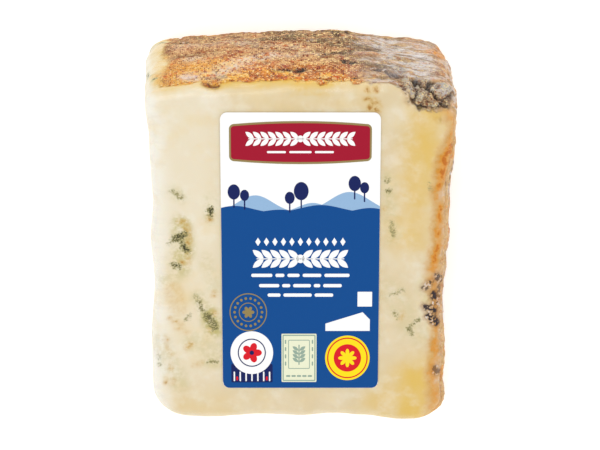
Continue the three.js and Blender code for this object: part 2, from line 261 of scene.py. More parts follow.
# Lumps of the crumbled corner, seen from above: (x, y, x, y, half-width, tone). A tone below 0 makes a pit,
# and from 0 to 1.1 it goes from dark to lilac.
CLODS = (
    (33.2, 33.4, 34.9, 32.4, 1.6, 1.1), (34, 32.1, 34.7, 31.9, 0.35, -1), (31.4, 35.3, 31.2, 33.2, 0.3, -1),
    (31.3, 33.2, 31.7, 32.2, 0.45, -1), (29.6, 33, 28.4, 28.8, 0.95, 0.72),
    (28.7, 34.2, 28.8, 34, 0.7, 0.8), (28.2, 35.5, 28.2, 35.1, 0.45, -1), (27.6, 28.1, 29.4, 27.6, 0.5, -1),
    (30.7, 30.3, 30.9, 30.1, 0.7, 0.42), (30.4, 32.1, 30.5, 31.5, 0.75, 0.48),
    (31, 28.9, 31.2, 28.7, 0.6, 0.6), (32.6, 28.9, 32.9, 28.8, 0.8, 0.78),
    (31.1, 27.3, 30.7, 27.2, 0.8, 0.92), (32.7, 30.9, 34, 30.4, 0.35, -0.6),
    (34.6, 29.2, 36, 28.2, 0.7, 0.05), (25.9, 35, 26.9, 32.4, 1.3, 0.88),
    (27.2, 32.2, 27.4, 30.9, 0.6, 0.8), (29.9, 36.4, 30.3, 35, 0.9, 0.86),
    (25.4, 32.6, 26.6, 29.4, 0.45, 0.1), (33.4, 35.6, 35.6, 34.9, 0.8, 0.5),
    (35.9, 31, 36.2, 29.8, 0.8, 0.3),
)
# Creases of the stretched film on the upper face: (x, up the face, x, up the face, half-width, height).
CREASES = (
    (-34, 20.5, -28.6, 25.6, 0.45, 0.14), (-33.6, 22.6, -29, 27.6, 0.4, 0.1),
    (-30.5, 19, -26, 24, 0.4, 0.1), (-25.5, 18.6, -23.6, 22.2, 0.4, 0.08), (30.5, 18.2, 27, 22.4, 0.4, 0.1),
    (33.2, 20.4, 29.6, 24.6, 0.4, 0.08), (-34.6, 104, -30.4, 99, 0.5, 0.08),
    (34.4, 97.5, 31, 92.8, 0.5, 0.08),
)


def shade(red, green, blue):
    """A colour given in display values from 0 to 255, as the scene's linear numbers."""
    display = np.array((red, green, blue)) / 255
    linear = np.where(display <= 0.04045, display / 12.92, ((display + 0.055) / 1.055) ** 2.4)
    return tuple(float(v) for v in linear)


def colour_property(name, description, red, green, blue):
    """A colour property whose default is given in display values."""
    default = shade(red, green, blue)
    return bpy.props.FloatVectorProperty(
        name=name, description=description, default=default, size=3, min=0, max=1, subtype="COLOR"
    )


class CheeseColours(bpy.types.PropertyGroup):
    """Colours of the paste and of the rind."""

    cream: colour_property("Cream", "Most of the paste", 234, 222, 195)
    pale: colour_property("Pale cream", "Paste along the plain cut", 244, 240, 227)
    butter: colour_property("Butter", "Warmer clouds in the paste", 232, 210, 160)
    straw: colour_property("Straw", "Warmer paste towards the middle", 221, 201, 160)
    golden: colour_property("Golden", "Paste close to the rind and the tip", 226, 187, 80)
    halo: colour_property("Halo", "Olive cast of the paste beside veins", 194, 182, 116)
    stain: colour_property("Stain", "Ochre places in the paste", 204, 158, 50)
    mould: colour_property("Mould", "Grey-green of the veins", 146, 138, 86)
    mould_dark: colour_property("Deep mould", "The veins' darkest places", 62, 58, 30)
    mould_rind: colour_property("Purple mould", "Mould close to the rind", 48, 34, 38)
    orange: colour_property("Orange rind", "Rind close to a cut face", 220, 124, 12)
    orange_deep: colour_property("Deep orange", "Specks in the orange rind", 184, 94, 8)
    amber: colour_property("Amber rind", "Lighter places in the orange rind", 246, 188, 76)
    rime: colour_property("Rime", "Outer skin of the drum's end", 221, 182, 132)
    beige: colour_property("Beige rind", "Dry patches of the rind", 214, 162, 106)
    brown: colour_property("Brown rind", "Rind away from the cut faces", 160, 104, 50)
    tan: colour_property("Tan rind", "Warm places in the grey rind", 204, 160, 100)
    grey: colour_property("Grey rind", "Old rind near the drum's end", 158, 130, 96)
    lichen: colour_property("Pale crumbs", "Grey-green white lumps of the crumbled corner", 188, 178, 148)
    ash: colour_property("Ash", "Middle tones of the crumbled corner", 160, 138, 116)
    slate: colour_property("Slate", "Lilac grey lumps of the crumbled corner", 186, 176, 172)
    # Lilac paints the film's sheen in pale streaks over the grey rind; it also lightens flecks and the end's
    # skin.
    lilac: colour_property("Lilac bloom", "Streaks of bloom over the grey rind", 220, 211, 205)
    # Dusk darkens placed patches of the rind, several along the cracks, the wall low down towards the
    # ground, and is the base of the crumbled corner's lumps.
    dusk: colour_property("Dusk", "Dirty, greenish dark places of the rind", 104, 82, 46)
    bloom: colour_property("Bloom", "White crumbs on the rind", 250, 222, 156)
    thread: colour_property("Orange thread", "The line under the end's skin", 222, 144, 34)
    crumb: colour_property("Crumbs", "Larger cream crumbs on the rind", 240, 203, 146)
    ember: colour_property("Ember", "Cast of the larger orange grains of the rind", 238, 158, 72)
    seep: colour_property("Seep", "Brownish glow along the end's skin", 202, 146, 58)
    # The darker grains are partly painted shade: they darken the rind's own colour in place of the rough
    # crust's tiny shadows.
    deep: colour_property("Deep grains", "Cast of the darker grains of the rind", 158, 84, 30)
    chalk: colour_property("Chalk", "Dry pinkish white places of the rind", 236, 216, 196)
    ochre: colour_property("Ochre rind", "Bright ochre places of the rind", 228, 154, 62)
    # Painted shade: the dark inside cracks, in hollows under the film and in the pits of the crumbled
    # corner.
    crack: colour_property("Crack", "Inside cracks and hollows of the rind", 42, 22, 6)


class FilmSettings(bpy.types.PropertyGroup):
    """The clear shrink film."""

    clearance: bpy.props.FloatProperty(
        name="Clearance", description="Least space over the cheese", default=0.00012, min=0, unit="LENGTH"
    )
    tension_rounds: bpy.props.IntProperty(
        name="Tension", description="Rounds of smoothing over the film's hollows", default=40, min=0, max=400
    )
    # The same colour paints the film's glare, its sheen and the pale reflection along the plain cut.
    haze: colour_property("Haze", "Milky look of the film where it stands off the cheese", 244, 241, 240)


class LabelColours(bpy.types.PropertyGroup):
    """Paper and inks of the label."""

    paper: colour_property("Paper", "Coated white paper", 252, 252, 251)
    blue: colour_property("Blue", "The large field", 14, 76, 144)
    sky: colour_property("Light blue", "The far hills", 150, 184, 218)
    navy: colour_property("Navy", "Trees, ring and stripes", 24, 36, 92)
    red: colour_property("Dark red", "The banner", 164, 22, 48)
    scarlet: colour_property("Scarlet", "Small round marks", 220, 30, 42)
    gold: colour_property("Gold", "Rules and rings", 150, 132, 84)
    yellow: colour_property("Yellow", "The yellow disc", 255, 226, 30)
    sage: colour_property("Sage", "Frame and sprig of the pale panel", 150, 172, 156)
    ivory: colour_property("Ivory", "The pale panel", 236, 238, 208)


class StageSettings(bpy.types.PropertyGroup):
    """Floor, lights and camera."""

    floor_size: bpy.props.FloatProperty(
        name="Floor", description="Length of the square floor's side", default=6, min=1, unit="LENGTH"
    )
    floor_colour: colour_property("Floor colour", "The plain pale floor", 247, 247, 246)
    distance: bpy.props.FloatProperty(
        name="Camera distance", description="From the camera to its aim", default=1.0, min=0.2, unit="LENGTH"
    )
    tilt: bpy.props.FloatProperty(
        name="Camera tilt", description="Lean from overhead", default=math.radians(1.5), unit="ROTATION"
    )
    lens: bpy.props.FloatProperty(name="Lens", description="Focal length in mm", default=242.1, min=20)
    sky_strength: bpy.props.FloatProperty(
        name="Sky", description="Strength of the even light from all round", default=0.70, min=0
    )
    key_power: bpy.props.FloatProperty(
        name="Key light", description="Power of the large light overhead", default=4.2, min=0, unit="POWER"
    )


# ---- shapes shared with the solid ----------------------------------------------------------------
def smoothstep(value, low, high):
    """0 below low and 1 above high, with an easy curve between."""
    t = np.clip((value - low) / (high - low), 0, 1)
    return t * t * (3 - 2 * t)


def lerp(a, b, t):
    """Straight from a to b as t goes from 0 to 1."""
    return a + (b - a) * t


def hashed(i, j, k, seed):
    """A number from 0 to 1 for each whole-numbered cell: the last digits of a stretched sine."""
    value = np.sin(i * 127.1 + j * 311.7 + k * 74.7 + seed * 53.3) * 43758.5453
    return value - np.floor(value)


def noise(x, y, z, seed):
    """Value noise from -1 to 1: a hashed number at each corner of a unit cell, eased between the corners."""
    cells = [np.floor(v) for v in (x, y, z)]
    eased = [(v - c) ** 2 * (3 - 2 * (v - c)) for v, c in zip((x, y, z), cells)]
    total = 0
    for corner in itertools.product((0, 1), repeat=3):
        i, j, k = (c + step for c, step in zip(cells, corner))
        weight = math.prod(t if step else 1 - t for t, step in zip(eased, corner))
        total = total + weight * hashed(i, j, k, seed)
    return 2 * total - 1


def fractal(p, size, seed, octaves=3):
    """Layers of noise from about -1 to 1, each half as wide and a little over half as high as the last."""
    heights = [LAYER_FALL**n for n in range(octaves)]
    layers = [height * noise(*(p.T * 2**n / size), seed + 7 * n) for n, height in enumerate(heights)]
    return sum(layers) / sum(heights) * LAYER_SPREAD


def clods(p, size, seed):
    """Lumps round scattered centres, one in each cell of a given size: how far points are inside their own
    lump's border, in mm, and a number from 0 to 1 that each lump has to itself.
    """
    place = p.T / size
    near, far = np.full((2, len(p)), FAR)
    own = np.zeros(len(p))
    for step in itertools.product((-1, 0, 1), repeat=3):
        cell = np.floor(place) + np.array(step)[:, None]
        centre = cell + np.stack([hashed(*cell, seed + n) for n in range(3)])
        away = np.linalg.norm(centre - place, axis=0)
        closest = away < near
        far = np.where(closest, near, np.minimum(far, away))
        near = np.where(closest, away, near)
        own = np.where(closest, hashed(*cell, seed + 3), own)
    return (far - near) / 2 * size, own


def along(pairs, place):
    """A smooth line through (place, value) pairs, level beyond both ends."""
    places, values = np.array(pairs, float).T
    n = np.clip(np.searchsorted(places, place, side="right"), 1, len(places) - 1)
    t = np.clip((place - places[n - 1]) / (places[n] - places[n - 1]), 0, 1)
    return lerp(values[n - 1], values[n], t * t * (3 - 2 * t))


def within(distances, round_by):
    """Distance outside the common part of several faces, rounded where they meet."""
    distances = np.stack(np.broadcast_arrays(*distances))
    outer = np.sqrt((np.maximum(distances + round_by, 0) ** 2).sum(0))
    return np.where(outer > 0, outer - round_by, distances.max(0))


def rind_radius(x):
    """The drum's radius, fullest near its middle and less to each side with the square of the distance."""
    fall = np.where(x < RIND_FULLEST_X, RIND_FALL_PLAIN, RIND_FALL_END)
    return DRUM_RADIUS - fall * (x - RIND_FULLEST_X) ** 2


def sway(y, z):
    """How far the side walls lean in and out of line."""
    return SIDE_SWAY * np.sin(z / 12 + y / 17)


def plain_side(y, z):
    """Where the plain cut is, along x."""
    return -along(PLAIN_SIDE, y) + sway(y, z)


def rind_side(y, z):
    """Where the drum's end rind is, along x."""
    return along(RIND_SIDE, y) + sway(y + 25, z)


def tip_distance(x):
    """From the drum's axis to the blunt tip."""
    return TIP_DISTANCE - along(TIP_LINE, x)


def drum_angle(p):
    """How far up from the ground points are round the drum's axis, in radians."""
    return np.arctan2(p[:, 2], p[:, 1] - AXIS_Y)


def wall_depth(p):
    """How far points are inside the drum's wall."""
    x, y, z = p.T
    return rind_radius(x) - np.hypot(y - AXIS_Y, z)


def outside(p):
    """How far points are outside the smooth wedge: a rounded common part of four walls and two cuts."""
    x, y, z = p.T
    along_wedge = (y - AXIS_Y) * math.cos(WEDGE_ANGLE / 2) + z * math.sin(WEDGE_ANGLE / 2)
    to_rind = smoothstep(y, -ROUNDING_EASE_Y, ROUNDING_EASE_Y)
    to_end = smoothstep(x, -ROUNDING_EASE_X, ROUNDING_EASE_X)
    corner = lerp(
        lerp(CORNER_TIP_PLAIN, CORNER_TIP_RIND, to_end),
        lerp(CORNER_RIND_PLAIN, CORNER_RIND_RIND, to_end),
        to_rind,
    )
    walls = (plain_side(y, z) - x, x - rind_side(y, z), -wall_depth(p), tip_distance(x) - along_wedge)
    cuts = (-z, z * COS_A - (y - AXIS_Y) * SIN_A)
    return within((within(walls, corner), *cuts), lerp(EDGE_ROUND_TIP, EDGE_ROUND_RIND, to_rind))


def outwards(p):
    """The slope of outside(), by central differences."""
    h = 0.01
    steps = np.eye(3) * h
    return np.stack([(outside(p + s) - outside(p - s)) / (2 * h) for s in steps], axis=1)


def rind_share(p):
    """1 on the drum's wall and end, 0 on the cut faces away from them."""
    x, y, z = p.T
    wall = smoothstep(-wall_depth(p), -RIND_DEPTH, -1)
    end = smoothstep(x - rind_side(y, z), -RIND_DEPTH, -1)
    return np.maximum(wall, end)


def on_face(p):
    """Places on the upper cut face: how far up it from the axis, and how far out of it."""
    _, y, z = p.T
    return (y - AXIS_Y) * COS_A + z * SIN_A, z * COS_A - (y - AXIS_Y) * SIN_A


def clear_of_label(p):
    """0 where the label lies, 1 well clear of it."""
    reach, height = on_face(p)
    beside = abs(p[:, 0] - LABEL_X) - LABEL_WIDTH / 2
    beyond = np.maximum(beside, abs(reach - LABEL_CENTRE) - LABEL_LENGTH / 2)
    return np.where(height > -LABEL_BED, smoothstep(beyond, LABEL_REST, LABEL_CLEAR), 1)


def nearness(p, spot, reach):
    """1 at a spot, and 0 from its reach on."""
    return 1 - smoothstep(np.linalg.norm(p - np.array(spot), axis=1), 0, reach)


def broad_relief(p):
    """The solid's own relief: wrinkles and knobs of the rind, lumps, the crumbled corner and a notch."""
    x, y, z = p.T
    round_wall = drum_angle(p) * DRUM_RADIUS
    wrinkles = WRINKLE_HEIGHT * noise(x / WRINKLE_LENGTH, round_wall / WRINKLE_WIDTH, y / WRINKLE_DRIFT, 1)
    knobs = KNOB_HEIGHT * noise(*(p.T / KNOB_SIZE), 2)
    lumps = LUMP_HEIGHT * noise(*(p.T / LUMP_SIZE), 3)
    crumbled = abs(noise(*(p.T / CRAG_SIZE), 4)) * 2 - CRAG_SINK
    crag = nearness(p, CRAG_SPOT, CRAG_REACH) * crumbled * CRAG_HEIGHT
    notch = nearness(p, NOTCH_SPOT, NOTCH_REACH) * NOTCH_SINK
    height = rind_share(p) * (wrinkles + knobs) + lumps + crag - notch
    return height * clear_of_label(p) * smoothstep(z, *RELIEF_FADE)


# ---- the grid that cheese and film share ---------------------------------------------------------
def stations(cells):
    """Places from 0 to 1 for one way of the grid: each stretch is cut into equal cells."""
    shares, counts = np.array(cells).T
    starts = np.concatenate(([0], np.cumsum(shares)[:-1]))
    steps = [start + share * np.arange(1, int(n) + 1) / n for start, share, n in zip(starts, shares, counts)]
    return np.concatenate([[0], *steps])


def box_faces(counts):
    """A box grid's six faces, as quads of (i, j, k) corners that turn anticlockwise seen from outside."""
    quads = []
    for axis, far in itertools.product(range(3), (False, True)):
        u, v = (a for a in range(3) if a != axis)
        a, b = np.meshgrid(np.arange(counts[u]), np.arange(counts[v]), indexing="ij")
        corners = np.zeros((*a.shape, 4, 3), int)
        for n, (da, db) in enumerate(((0, 0), (1, 0), (1, 1), (0, 1))):
            corners[..., n, u] = a + da
            corners[..., n, v] = b + db
            corners[..., n, axis] = counts[axis] if far else 0
        outward = far != (axis == 1)
        quads.append((corners if outward else corners[:, :, ::-1]).reshape(-1, 4, 3))
    return np.concatenate(quads)


@functools.lru_cache
def smooth_wedge():
    """The fine grid on the smooth wedge: points, unit normals, quads, and which points lie on the underside.

    A box grid is bent into the sharp-edged sector, then each point is walked along the slope of outside()
    until it lies on the rounded form.
    """
    sx, sr, sa = (stations(c) for c in (CELLS_X, CELLS_R, CELLS_A))
    counts = [len(s) - 1 for s in (sx, sr, sa)]
    corners = box_faces(counts)
    keys = (corners[..., 0] * (counts[1] + 1) + corners[..., 1]) * (counts[2] + 1) + corners[..., 2]
    used, quads = np.unique(keys, return_inverse=True)
    i, rest = np.divmod(used, (counts[1] + 1) * (counts[2] + 1))
    j, k = np.divmod(rest, counts[2] + 1)
    middle = lerp(-HALF_ACROSS, HALF_ACROSS, sx[i])
    radius = lerp(tip_distance(middle), rind_radius(middle), sr[j])
    angle = sa[k] * WEDGE_ANGLE
    y, z = AXIS_Y + radius * np.cos(angle), radius * np.sin(angle)
    p = np.stack((lerp(plain_side(y, z), rind_side(y, z), sx[i]), y, z), axis=1)
    for _ in range(SETTLING_STEPS):
        slope = outwards(p)
        p -= slope * (outside(p) / np.maximum((slope**2).sum(1), 0.2))[:, None]
    normals = outwards(p)
    normals /= np.linalg.norm(normals, axis=1)[:, None]
    return p, normals, quads.reshape(-1, 4), k == 0


def to_strokes(a, b, strokes):
    """For points (a, b), how far each is outside the nearest stroke's edge, and that stroke's strength.

    A stroke is a straight run with round ends: the distance to its middle line, less its half-width.
    """
    nearest = np.full(a.shape, FAR)
    strength = np.zeros(a.shape)
    for a0, b0, a1, b1, half_width, power in strokes:
        run = np.array((a1 - a0, b1 - b0))
        t = np.clip(((a - a0) * run[0] + (b - b0) * run[1]) / max(run @ run, 1e-9), 0, 1)
        gap = np.hypot(a - a0 - t * run[0], b - b0 - t * run[1]) - half_width
        closer = gap < nearest
        nearest = np.where(closer, gap, nearest)
        strength = np.where(closer, power, strength)
    return nearest, strength


def patches(a, b, strokes, edge):
    """The strongest of several soft-edged strokes at each point."""
    shares = []
    for stroke in strokes:
        gap, power = to_strokes(a, b, [stroke])
        shares.append((1 - smoothstep(gap, -edge, edge)) * power)
    return np.maximum.reduce(shares)


def on_wall(strokes):
    """Strokes given by degrees round the drum's wall, turned into millimetres along it."""
    mm = math.radians(1) * DRUM_RADIUS
    return [(x0, a0 * mm, x1, a1 * mm, *rest) for x0, a0, x1, a1, *rest in strokes]


def wall_place(p):
    """Millimetres round the drum's wall. Points of the wall are placed as on an even drum seen from above,
    so that the strokes stay in line over its thinner ends; points deeper in keep their own place.
    """
    own = drum_angle(p) * DRUM_RADIUS
    even = np.arccos(np.clip((p[:, 1] - AXIS_Y) / DRUM_RADIUS, -1, 1)) * DRUM_RADIUS
    return lerp(own, even, smoothstep(wall_depth(p), 6, 3))


def rind_gaps(p, ragged):
    """How far points are from the rind, in mm and below 0 inside it, and the same for the crumbled corner.
    Then how deep they are under the skin of wall and end, and how far they belong to the end.

    The wall's rind stops short of both cuts and of the plain side; the end's rind shows as a skin on the cut
    faces, whose thickness changes along the edge.
    """
    x, y, z = p.T
    up_face, height = on_face(p)
    from_wall = wall_depth(p)
    from_end = rind_side(y, z) - x
    depth = -within((-from_wall, -from_end), CORNER_RIND_RIND)
    below_cut = -height - RIND_BELOW_CUT + 1.1 * smoothstep(x, -14, 2) - 2.2 * smoothstep(x, -16, -27)
    from_plain = x - RIND_START_X + 1.8 * noise(*(p.T / 4), 22)
    rim = np.minimum.reduce((below_cut, z - RIND_ABOVE_GROUND, from_plain))
    wall_gap = np.maximum(-rim, depth - WALL_SKIN) + 0.5 * ragged
    by_end = smoothstep(from_wall - from_end, -6, 2)
    end_gap = depth - 0.5 * by_end + WALL_SKIN * (1 - by_end)
    blotch_gap = to_strokes(x, (y - AXIS_Y) / COS_A, BLOTCHES)[0] + 0.3 * ragged
    blotch_gap = np.where(height > -5, blotch_gap, 4)
    over_foot = drum_angle(p) * DRUM_RADIUS - CRAG_FOOT
    short_of_crag = (along(CRAG_EDGE, x) - up_face, -over_foot, CRAG_START_X - x)
    crag_gap = np.maximum.reduce(short_of_crag) + 0.9 * ragged
    gaps = np.minimum.reduce((wall_gap, end_gap, blotch_gap, crag_gap))
    return gaps, crag_gap, depth, by_end


def paste_tints(p, ragged, upper):
    """Masks of the paste: golden by rind and tip, warm in the middle, pale at the plain cut, halos, stains,
    and the faces that the placed veins don't reach.
    """
    x = p[:, 0]
    up_face, height = on_face(p)
    golden = patches(x + ragged, up_face + 3 * fractal(p, 9, 29, 2), GOLD, 4.5) * upper
    golden = np.maximum(golden, 0.55 * smoothstep(x + 2.5 * ragged, 26, 34) * (1 - upper))
    golden = np.maximum(golden, 0.5 * smoothstep(up_face, 106.5, 109) * (1 - smoothstep(x, 14, 22)))
    return {
        "golden": golden,
        "warm": np.maximum(0.9 * smoothstep(x, -25, -12), 0.75 * smoothstep(up_face, 36, 17)),
        "pale": smoothstep(x, -29.5, -36.5) * lerp(0.3, 1, upper),
        "halo": patches(x, up_face, HALOS, 1.5) * upper,
        "stain": patches(x, up_face, STAINS, 0.7) * upper,
        "hidden": smoothstep(height, -4, -8),
    }


def wall_tints(p, ragged, wall):
    """Masks of the wall's rind: orange near both cuts, amber, dark low down, grey by the end, and grainy."""
    x = p[:, 0]
    degrees = np.degrees(drum_angle(p))
    near_cut = np.minimum(29 - degrees, degrees + 7) - 3 * smoothstep(x, 2, -14)
    orange = smoothstep(near_cut + 1.8 * ragged, 7.6, 4) * (1 - smoothstep(x + 2 * ragged, 11, 18))
    back = smoothstep(degrees + 2 * ragged, 17, 10) * smoothstep(degrees, -1, 2)
    grey = smoothstep(x + 2 * ragged + 7 * fractal(p, 9, 28, 2), 10, 19)
    return {
        "orange": orange * wall * lerp(1, 0.6, smoothstep(x + ragged, -28, -33)),
        "amber": smoothstep(x + 2 * ragged, -12, -27),
        "back": back * wall * lerp(0.35, 1, smoothstep(x, -12, 2)) * (1 - smoothstep(x, 12, 18)),
        "grey": grey * wall * (1 - 0.6 * smoothstep(x, 31, 35)),
        "grainy": lerp(0.85, 1, smoothstep(x, -22, -6)) * lerp(1, 0.5, smoothstep(x + 2 * ragged, 10, 18)),
    }


def end_skin(p, ragged, depth, on_line):
    """Masks of the orange line under the end's skin and of the skin outside it."""
    line_at, line_half, power = (along([(row[0], row[n]) for row in END_LINE], p[:, 1]) for n in (1, 2, 3))
    return {
        "line_gap": np.where(on_line > 0.05, abs(depth - line_at) - line_half, 4),
        "line": power * on_line,
        "skin": smoothstep(depth + 0.3 * ragged, line_at + 0.4, line_at - 0.8) * on_line,
    }


def crumbled_lumps(p, ragged):
    """Placed and scattered lumps of the crumbled corner: how far in points are (mm), and their tone."""
    lump, tone = clods(p + 0.6 * fractal(p, 1.6, 42)[:, None], CLOD_SIZE, 41)
    gap, placed_tone = to_strokes(p[:, 0], p[:, 1], CLODS)
    gap = gap + 0.2 * ragged + 0.5 * fractal(p, 1.3, 43, 2)
    placed = np.where(placed_tone < 0, 0, -gap)
    lump = np.where(gap < 0, placed, np.minimum(lump, gap))
    return lump, np.where(gap < 0, placed_tone - 0.06, 0.2 + 0.55 * tone)


@functools.lru_cache
def cheese_fields():
    """Values over the grid by name: masks from 0 to 1, gaps, depths and soft edges in mm, and lump tones."""
    p = smooth_wedge()[0]
    x = p[:, 0]
    up_face, height = on_face(p)
    upper = smoothstep(height, -3.5, -0.8)
    on_upper = upper > 0.5
    ragged = fractal(p, 3, 21)
    rind_gap, crag_gap, depth, by_end = rind_gaps(p, ragged)
    rind_gap = np.clip(rind_gap, -4, 4)
    seep = 2 * smoothstep(x, 7, 14) - 0.6 * smoothstep(x, -24, -31)
    on_rind = 1 - smoothstep(depth, 1, 4)
    on_line = by_end * upper * smoothstep(crag_gap, -1.5, 0.5)
    along_wall = wall_place(p)
    vein_gap, vein = to_strokes(x, up_face, VEINS)
    fleck_gap, fleck = to_strokes(x, up_face, FLECKS)
    wall_fleck_gap, wall_fleck = to_strokes(x, along_wall, on_wall(WALL_FLECKS))
    wall_fleck_gap = np.where(on_rind > 0.3, wall_fleck_gap, FAR)
    crack_gap, crack_depth = to_strokes(x, along_wall, on_wall(CRACKS))
    lump, lump_tone = crumbled_lumps(p, ragged)
    tables = {"chalk": (CHALK, 1.2), "rust": (RUST, 1.5), "ochre": (OCHRE, 1.5), "dusk": (DUSK, 1)}
    stained = {
        name: patches(x, along_wall, on_wall(strokes), edge) * on_rind
        for name, (strokes, edge) in tables.items()
    }
    return {
        "rind_gap": rind_gap,
        "seep_gap": rind_gap + seep * (1 - by_end),
        "soft": 0.4 + 0.4 * by_end + 1.2 * smoothstep(x, -18, -31),
        "rim": smoothstep(height + ragged, -8, -2.5) * by_end,
        "end": by_end,
        "vein_gap": np.where(on_upper, vein_gap, FAR),
        "vein": vein,
        "fleck_gap": np.where(on_upper, fleck_gap, wall_fleck_gap),
        "fleck": np.where(on_upper, fleck, wall_fleck),
        "crack_gap": np.where(on_rind > 0.3, crack_gap, FAR),
        "crack_depth": crack_depth,
        "crag": 1 - smoothstep(crag_gap, -0.5, 0.5),
        "lump": lump,
        "lump_tone": lump_tone,
        **paste_tints(p, ragged, upper),
        **wall_tints(p, ragged, 1 - by_end),
        **end_skin(p, ragged, depth, on_line),
        **stained,
    }


@functools.lru_cache
def cheese_height():
    """Height of the cheese over the smooth wedge in mm: the solid's relief, less the film, and finer relief.

    The crust is folded noise, pulled out along the drum's axis; pits are where a second noise is high; mould
    and cracks sink by their masks; the crumbled corner breaks into lumps.
    """
    p = smooth_wedge()[0]
    f = cheese_fields()
    free = clear_of_label(p) * smoothstep(p[:, 2], *FINE_FADE)
    stretched = p * np.array((0.5, 1, 1))
    crust = CRUST_HEIGHT * (1 - 2 * abs(fractal(stretched, CRUST_SIZE, 11)))
    crust = crust + SAND_HEIGHT * fractal(p, 1.2, 12)
    pits = PIT_DEPTH * smoothstep(fractal(p, PIT_SIZE, 13), 0.35, 0.8)
    lumps = CLOD_HEIGHT * smoothstep(f["lump"], 0, 0.7) + CLOD_TONE_HEIGHT * f["lump_tone"] - CLOD_SINK
    lumps = lumps + 0.3 * fractal(p, 1.4, 15)
    crumb = 0.05 * fractal(p, 2.4, 16) + 0.03 * fractal(p, 1.1, 17)
    rind = 1 - smoothstep(f["rind_gap"], -0.3, 0.3)
    fine = rind * lerp(crust - pits - CRUST_SINK, lumps, f["crag"]) + (1 - rind) * crumb
    fine = fine - VEIN_SINK * f["vein"] * (1 - smoothstep(f["vein_gap"], -0.3, 0.4))
    fine = fine - f["crack_depth"] * (1 - smoothstep(f["crack_gap"], -0.4, 0.35))
    return broad_relief(p) - UNDER_FILM + fine * free


@functools.lru_cache
def film_height(clearance, rounds):
    """Height of the film in mm: it starts just over the cheese, and each round draws every point to the mean
    of its neighbours but never into the cheese, so that it spans hollows. Creases stand out as soft ridges.
    """
    p, _, quads, _ = smooth_wedge()
    least = cheese_height() + clearance
    a = quads.ravel()
    b = np.roll(quads, 1, axis=1).ravel()
    degree = np.bincount(a, minlength=len(p)) + np.bincount(b, minlength=len(p))
    film = least.copy()
    for _ in range(rounds):
        total = np.bincount(a, film[b], len(p)) + np.bincount(b, film[a], len(p))
        film = np.maximum(least, total / degree)
    up_face, height = on_face(p)
    gap, ridge_height = to_strokes(p[:, 0], up_face, CREASES)
    ridge = (1 - smoothstep(gap, -0.5, 0.5)) * ridge_height * smoothstep(height, -2.5, -0.6)
    return film + ridge * clear_of_label(p)


# ---- meshes --------------------------------------------------------------------------------------
@functools.lru_cache
def frame_shift():
    """From the drum's own place to the frame's: the label's box shows where the upper face's middle went."""
    low, high = (np.array(corner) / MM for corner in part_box("label"))
    middle = (low + high) / 2
    out = LABEL_GAP + LABEL_THICK / 2
    drawn_y, drawn_z = AXIS_Y + LABEL_CENTRE * COS_A - out * SIN_A, LABEL_CENTRE * SIN_A + out * COS_A
    shift = middle - np.array((LABEL_X, drawn_y, drawn_z))
    shift[2] = 0
    return shift


def make_piece(name, points, faces, material, node, fields=None, smooth=True):
    """Makes a mesh piece from points in mm and lists of faces, and ties it to the frame."""
    mesh = bpy.data.meshes.new(name)
    placed = (points + frame_shift()) * MM
    mesh.from_pydata(placed.tolist(), [], [face for group in faces for face in group.tolist()])
    mesh.polygons.foreach_set("use_smooth", np.full(len(mesh.polygons), smooth))
    for label, values in (fields or {}).items():
        layer = mesh.attributes.new(label, "FLOAT", "POINT")
        layer.data.foreach_set("value", np.asarray(values, np.float32))
    mesh.materials.append(material)
    mesh.update()
    piece = bpy.data.objects.new(name, mesh)
    bpy.context.collection.objects.link(piece)
    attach(piece, "root")
    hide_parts(node)


def make_skin(name, height, lift, material, fields):
    """A closed surface at a height over the smooth wedge. Its underside is flat, no lower than lift."""
    p, normals, quads, underside = smooth_wedge()
    points = p + normals * height[:, None]
    points[:, 2] = np.where(underside, np.maximum(p[:, 2], lift), np.maximum(points[:, 2], lift))
    make_piece(name, points, [quads], material, "wedge", fields)


# ---- shader helpers ------------------------------------------------------------------------------
def feed(tree, socket, value):
    """Links an output into a socket, or sets the socket to a plain value or colour."""
    if isinstance(value, bpy.types.NodeSocket):
        tree.links.new(value, socket)
    elif socket.type == "RGBA":
        socket.default_value = (*value[:3], 1)
    else:
        socket.default_value = value


def add(tree, kind, inputs=None, out=0, **settings):
    """Adds a node, sets it up, feeds its inputs by name or number, and returns one of its outputs."""
    made = tree.nodes.new(kind)
    for key, value in settings.items():
        setattr(made, key, value)
    for key, value in (inputs or {}).items():
        feed(tree, made.inputs[key], value)
    return made.outputs[out]


def calc(tree, operation, a, b=0.0):
    """One step of arithmetic."""
    return add(tree, "ShaderNodeMath", {0: a, 1: b}, operation=operation)


def times(tree, *values):
    """The product of several values."""
    return functools.reduce(functools.partial(calc, tree, "MULTIPLY"), values)


def plus(tree, *values):
    """The sum of several values."""
    return functools.reduce(functools.partial(calc, tree, "ADD"), values)


def ease(tree, value, low, high, bottom=0.0, top=1.0):
    """smoothstep from low to high, put between bottom and top."""
    inputs = {"Value": value, "From Min": low, "From Max": high, "To Min": bottom, "To Max": top}
    return add(tree, "ShaderNodeMapRange", inputs, interpolation_type="SMOOTHSTEP")


def blend_values(tree, amount, base, over):
    """Mixes two numbers by an amount."""
    return add(tree, "ShaderNodeMix", {0: amount, 2: base, 3: over}, out=0, data_type="FLOAT")


def blend(tree, amount, base, over, mode="MIX"):
    """Mixes two colours by an amount."""
    settings = {"data_type": "RGBA", "blend_type": mode, "clamp_factor": True}
    return add(tree, "ShaderNodeMix", {0: amount, 6: base, 7: over}, out=2, **settings)


def coat(tree, base, *layers):
    """Lays colours over a base one after another. A layer is (amount, colour), or (amount, colour, mode)."""
    for amount, over, *mode in layers:
        base = blend(tree, amount, base, over, *mode)
    return base


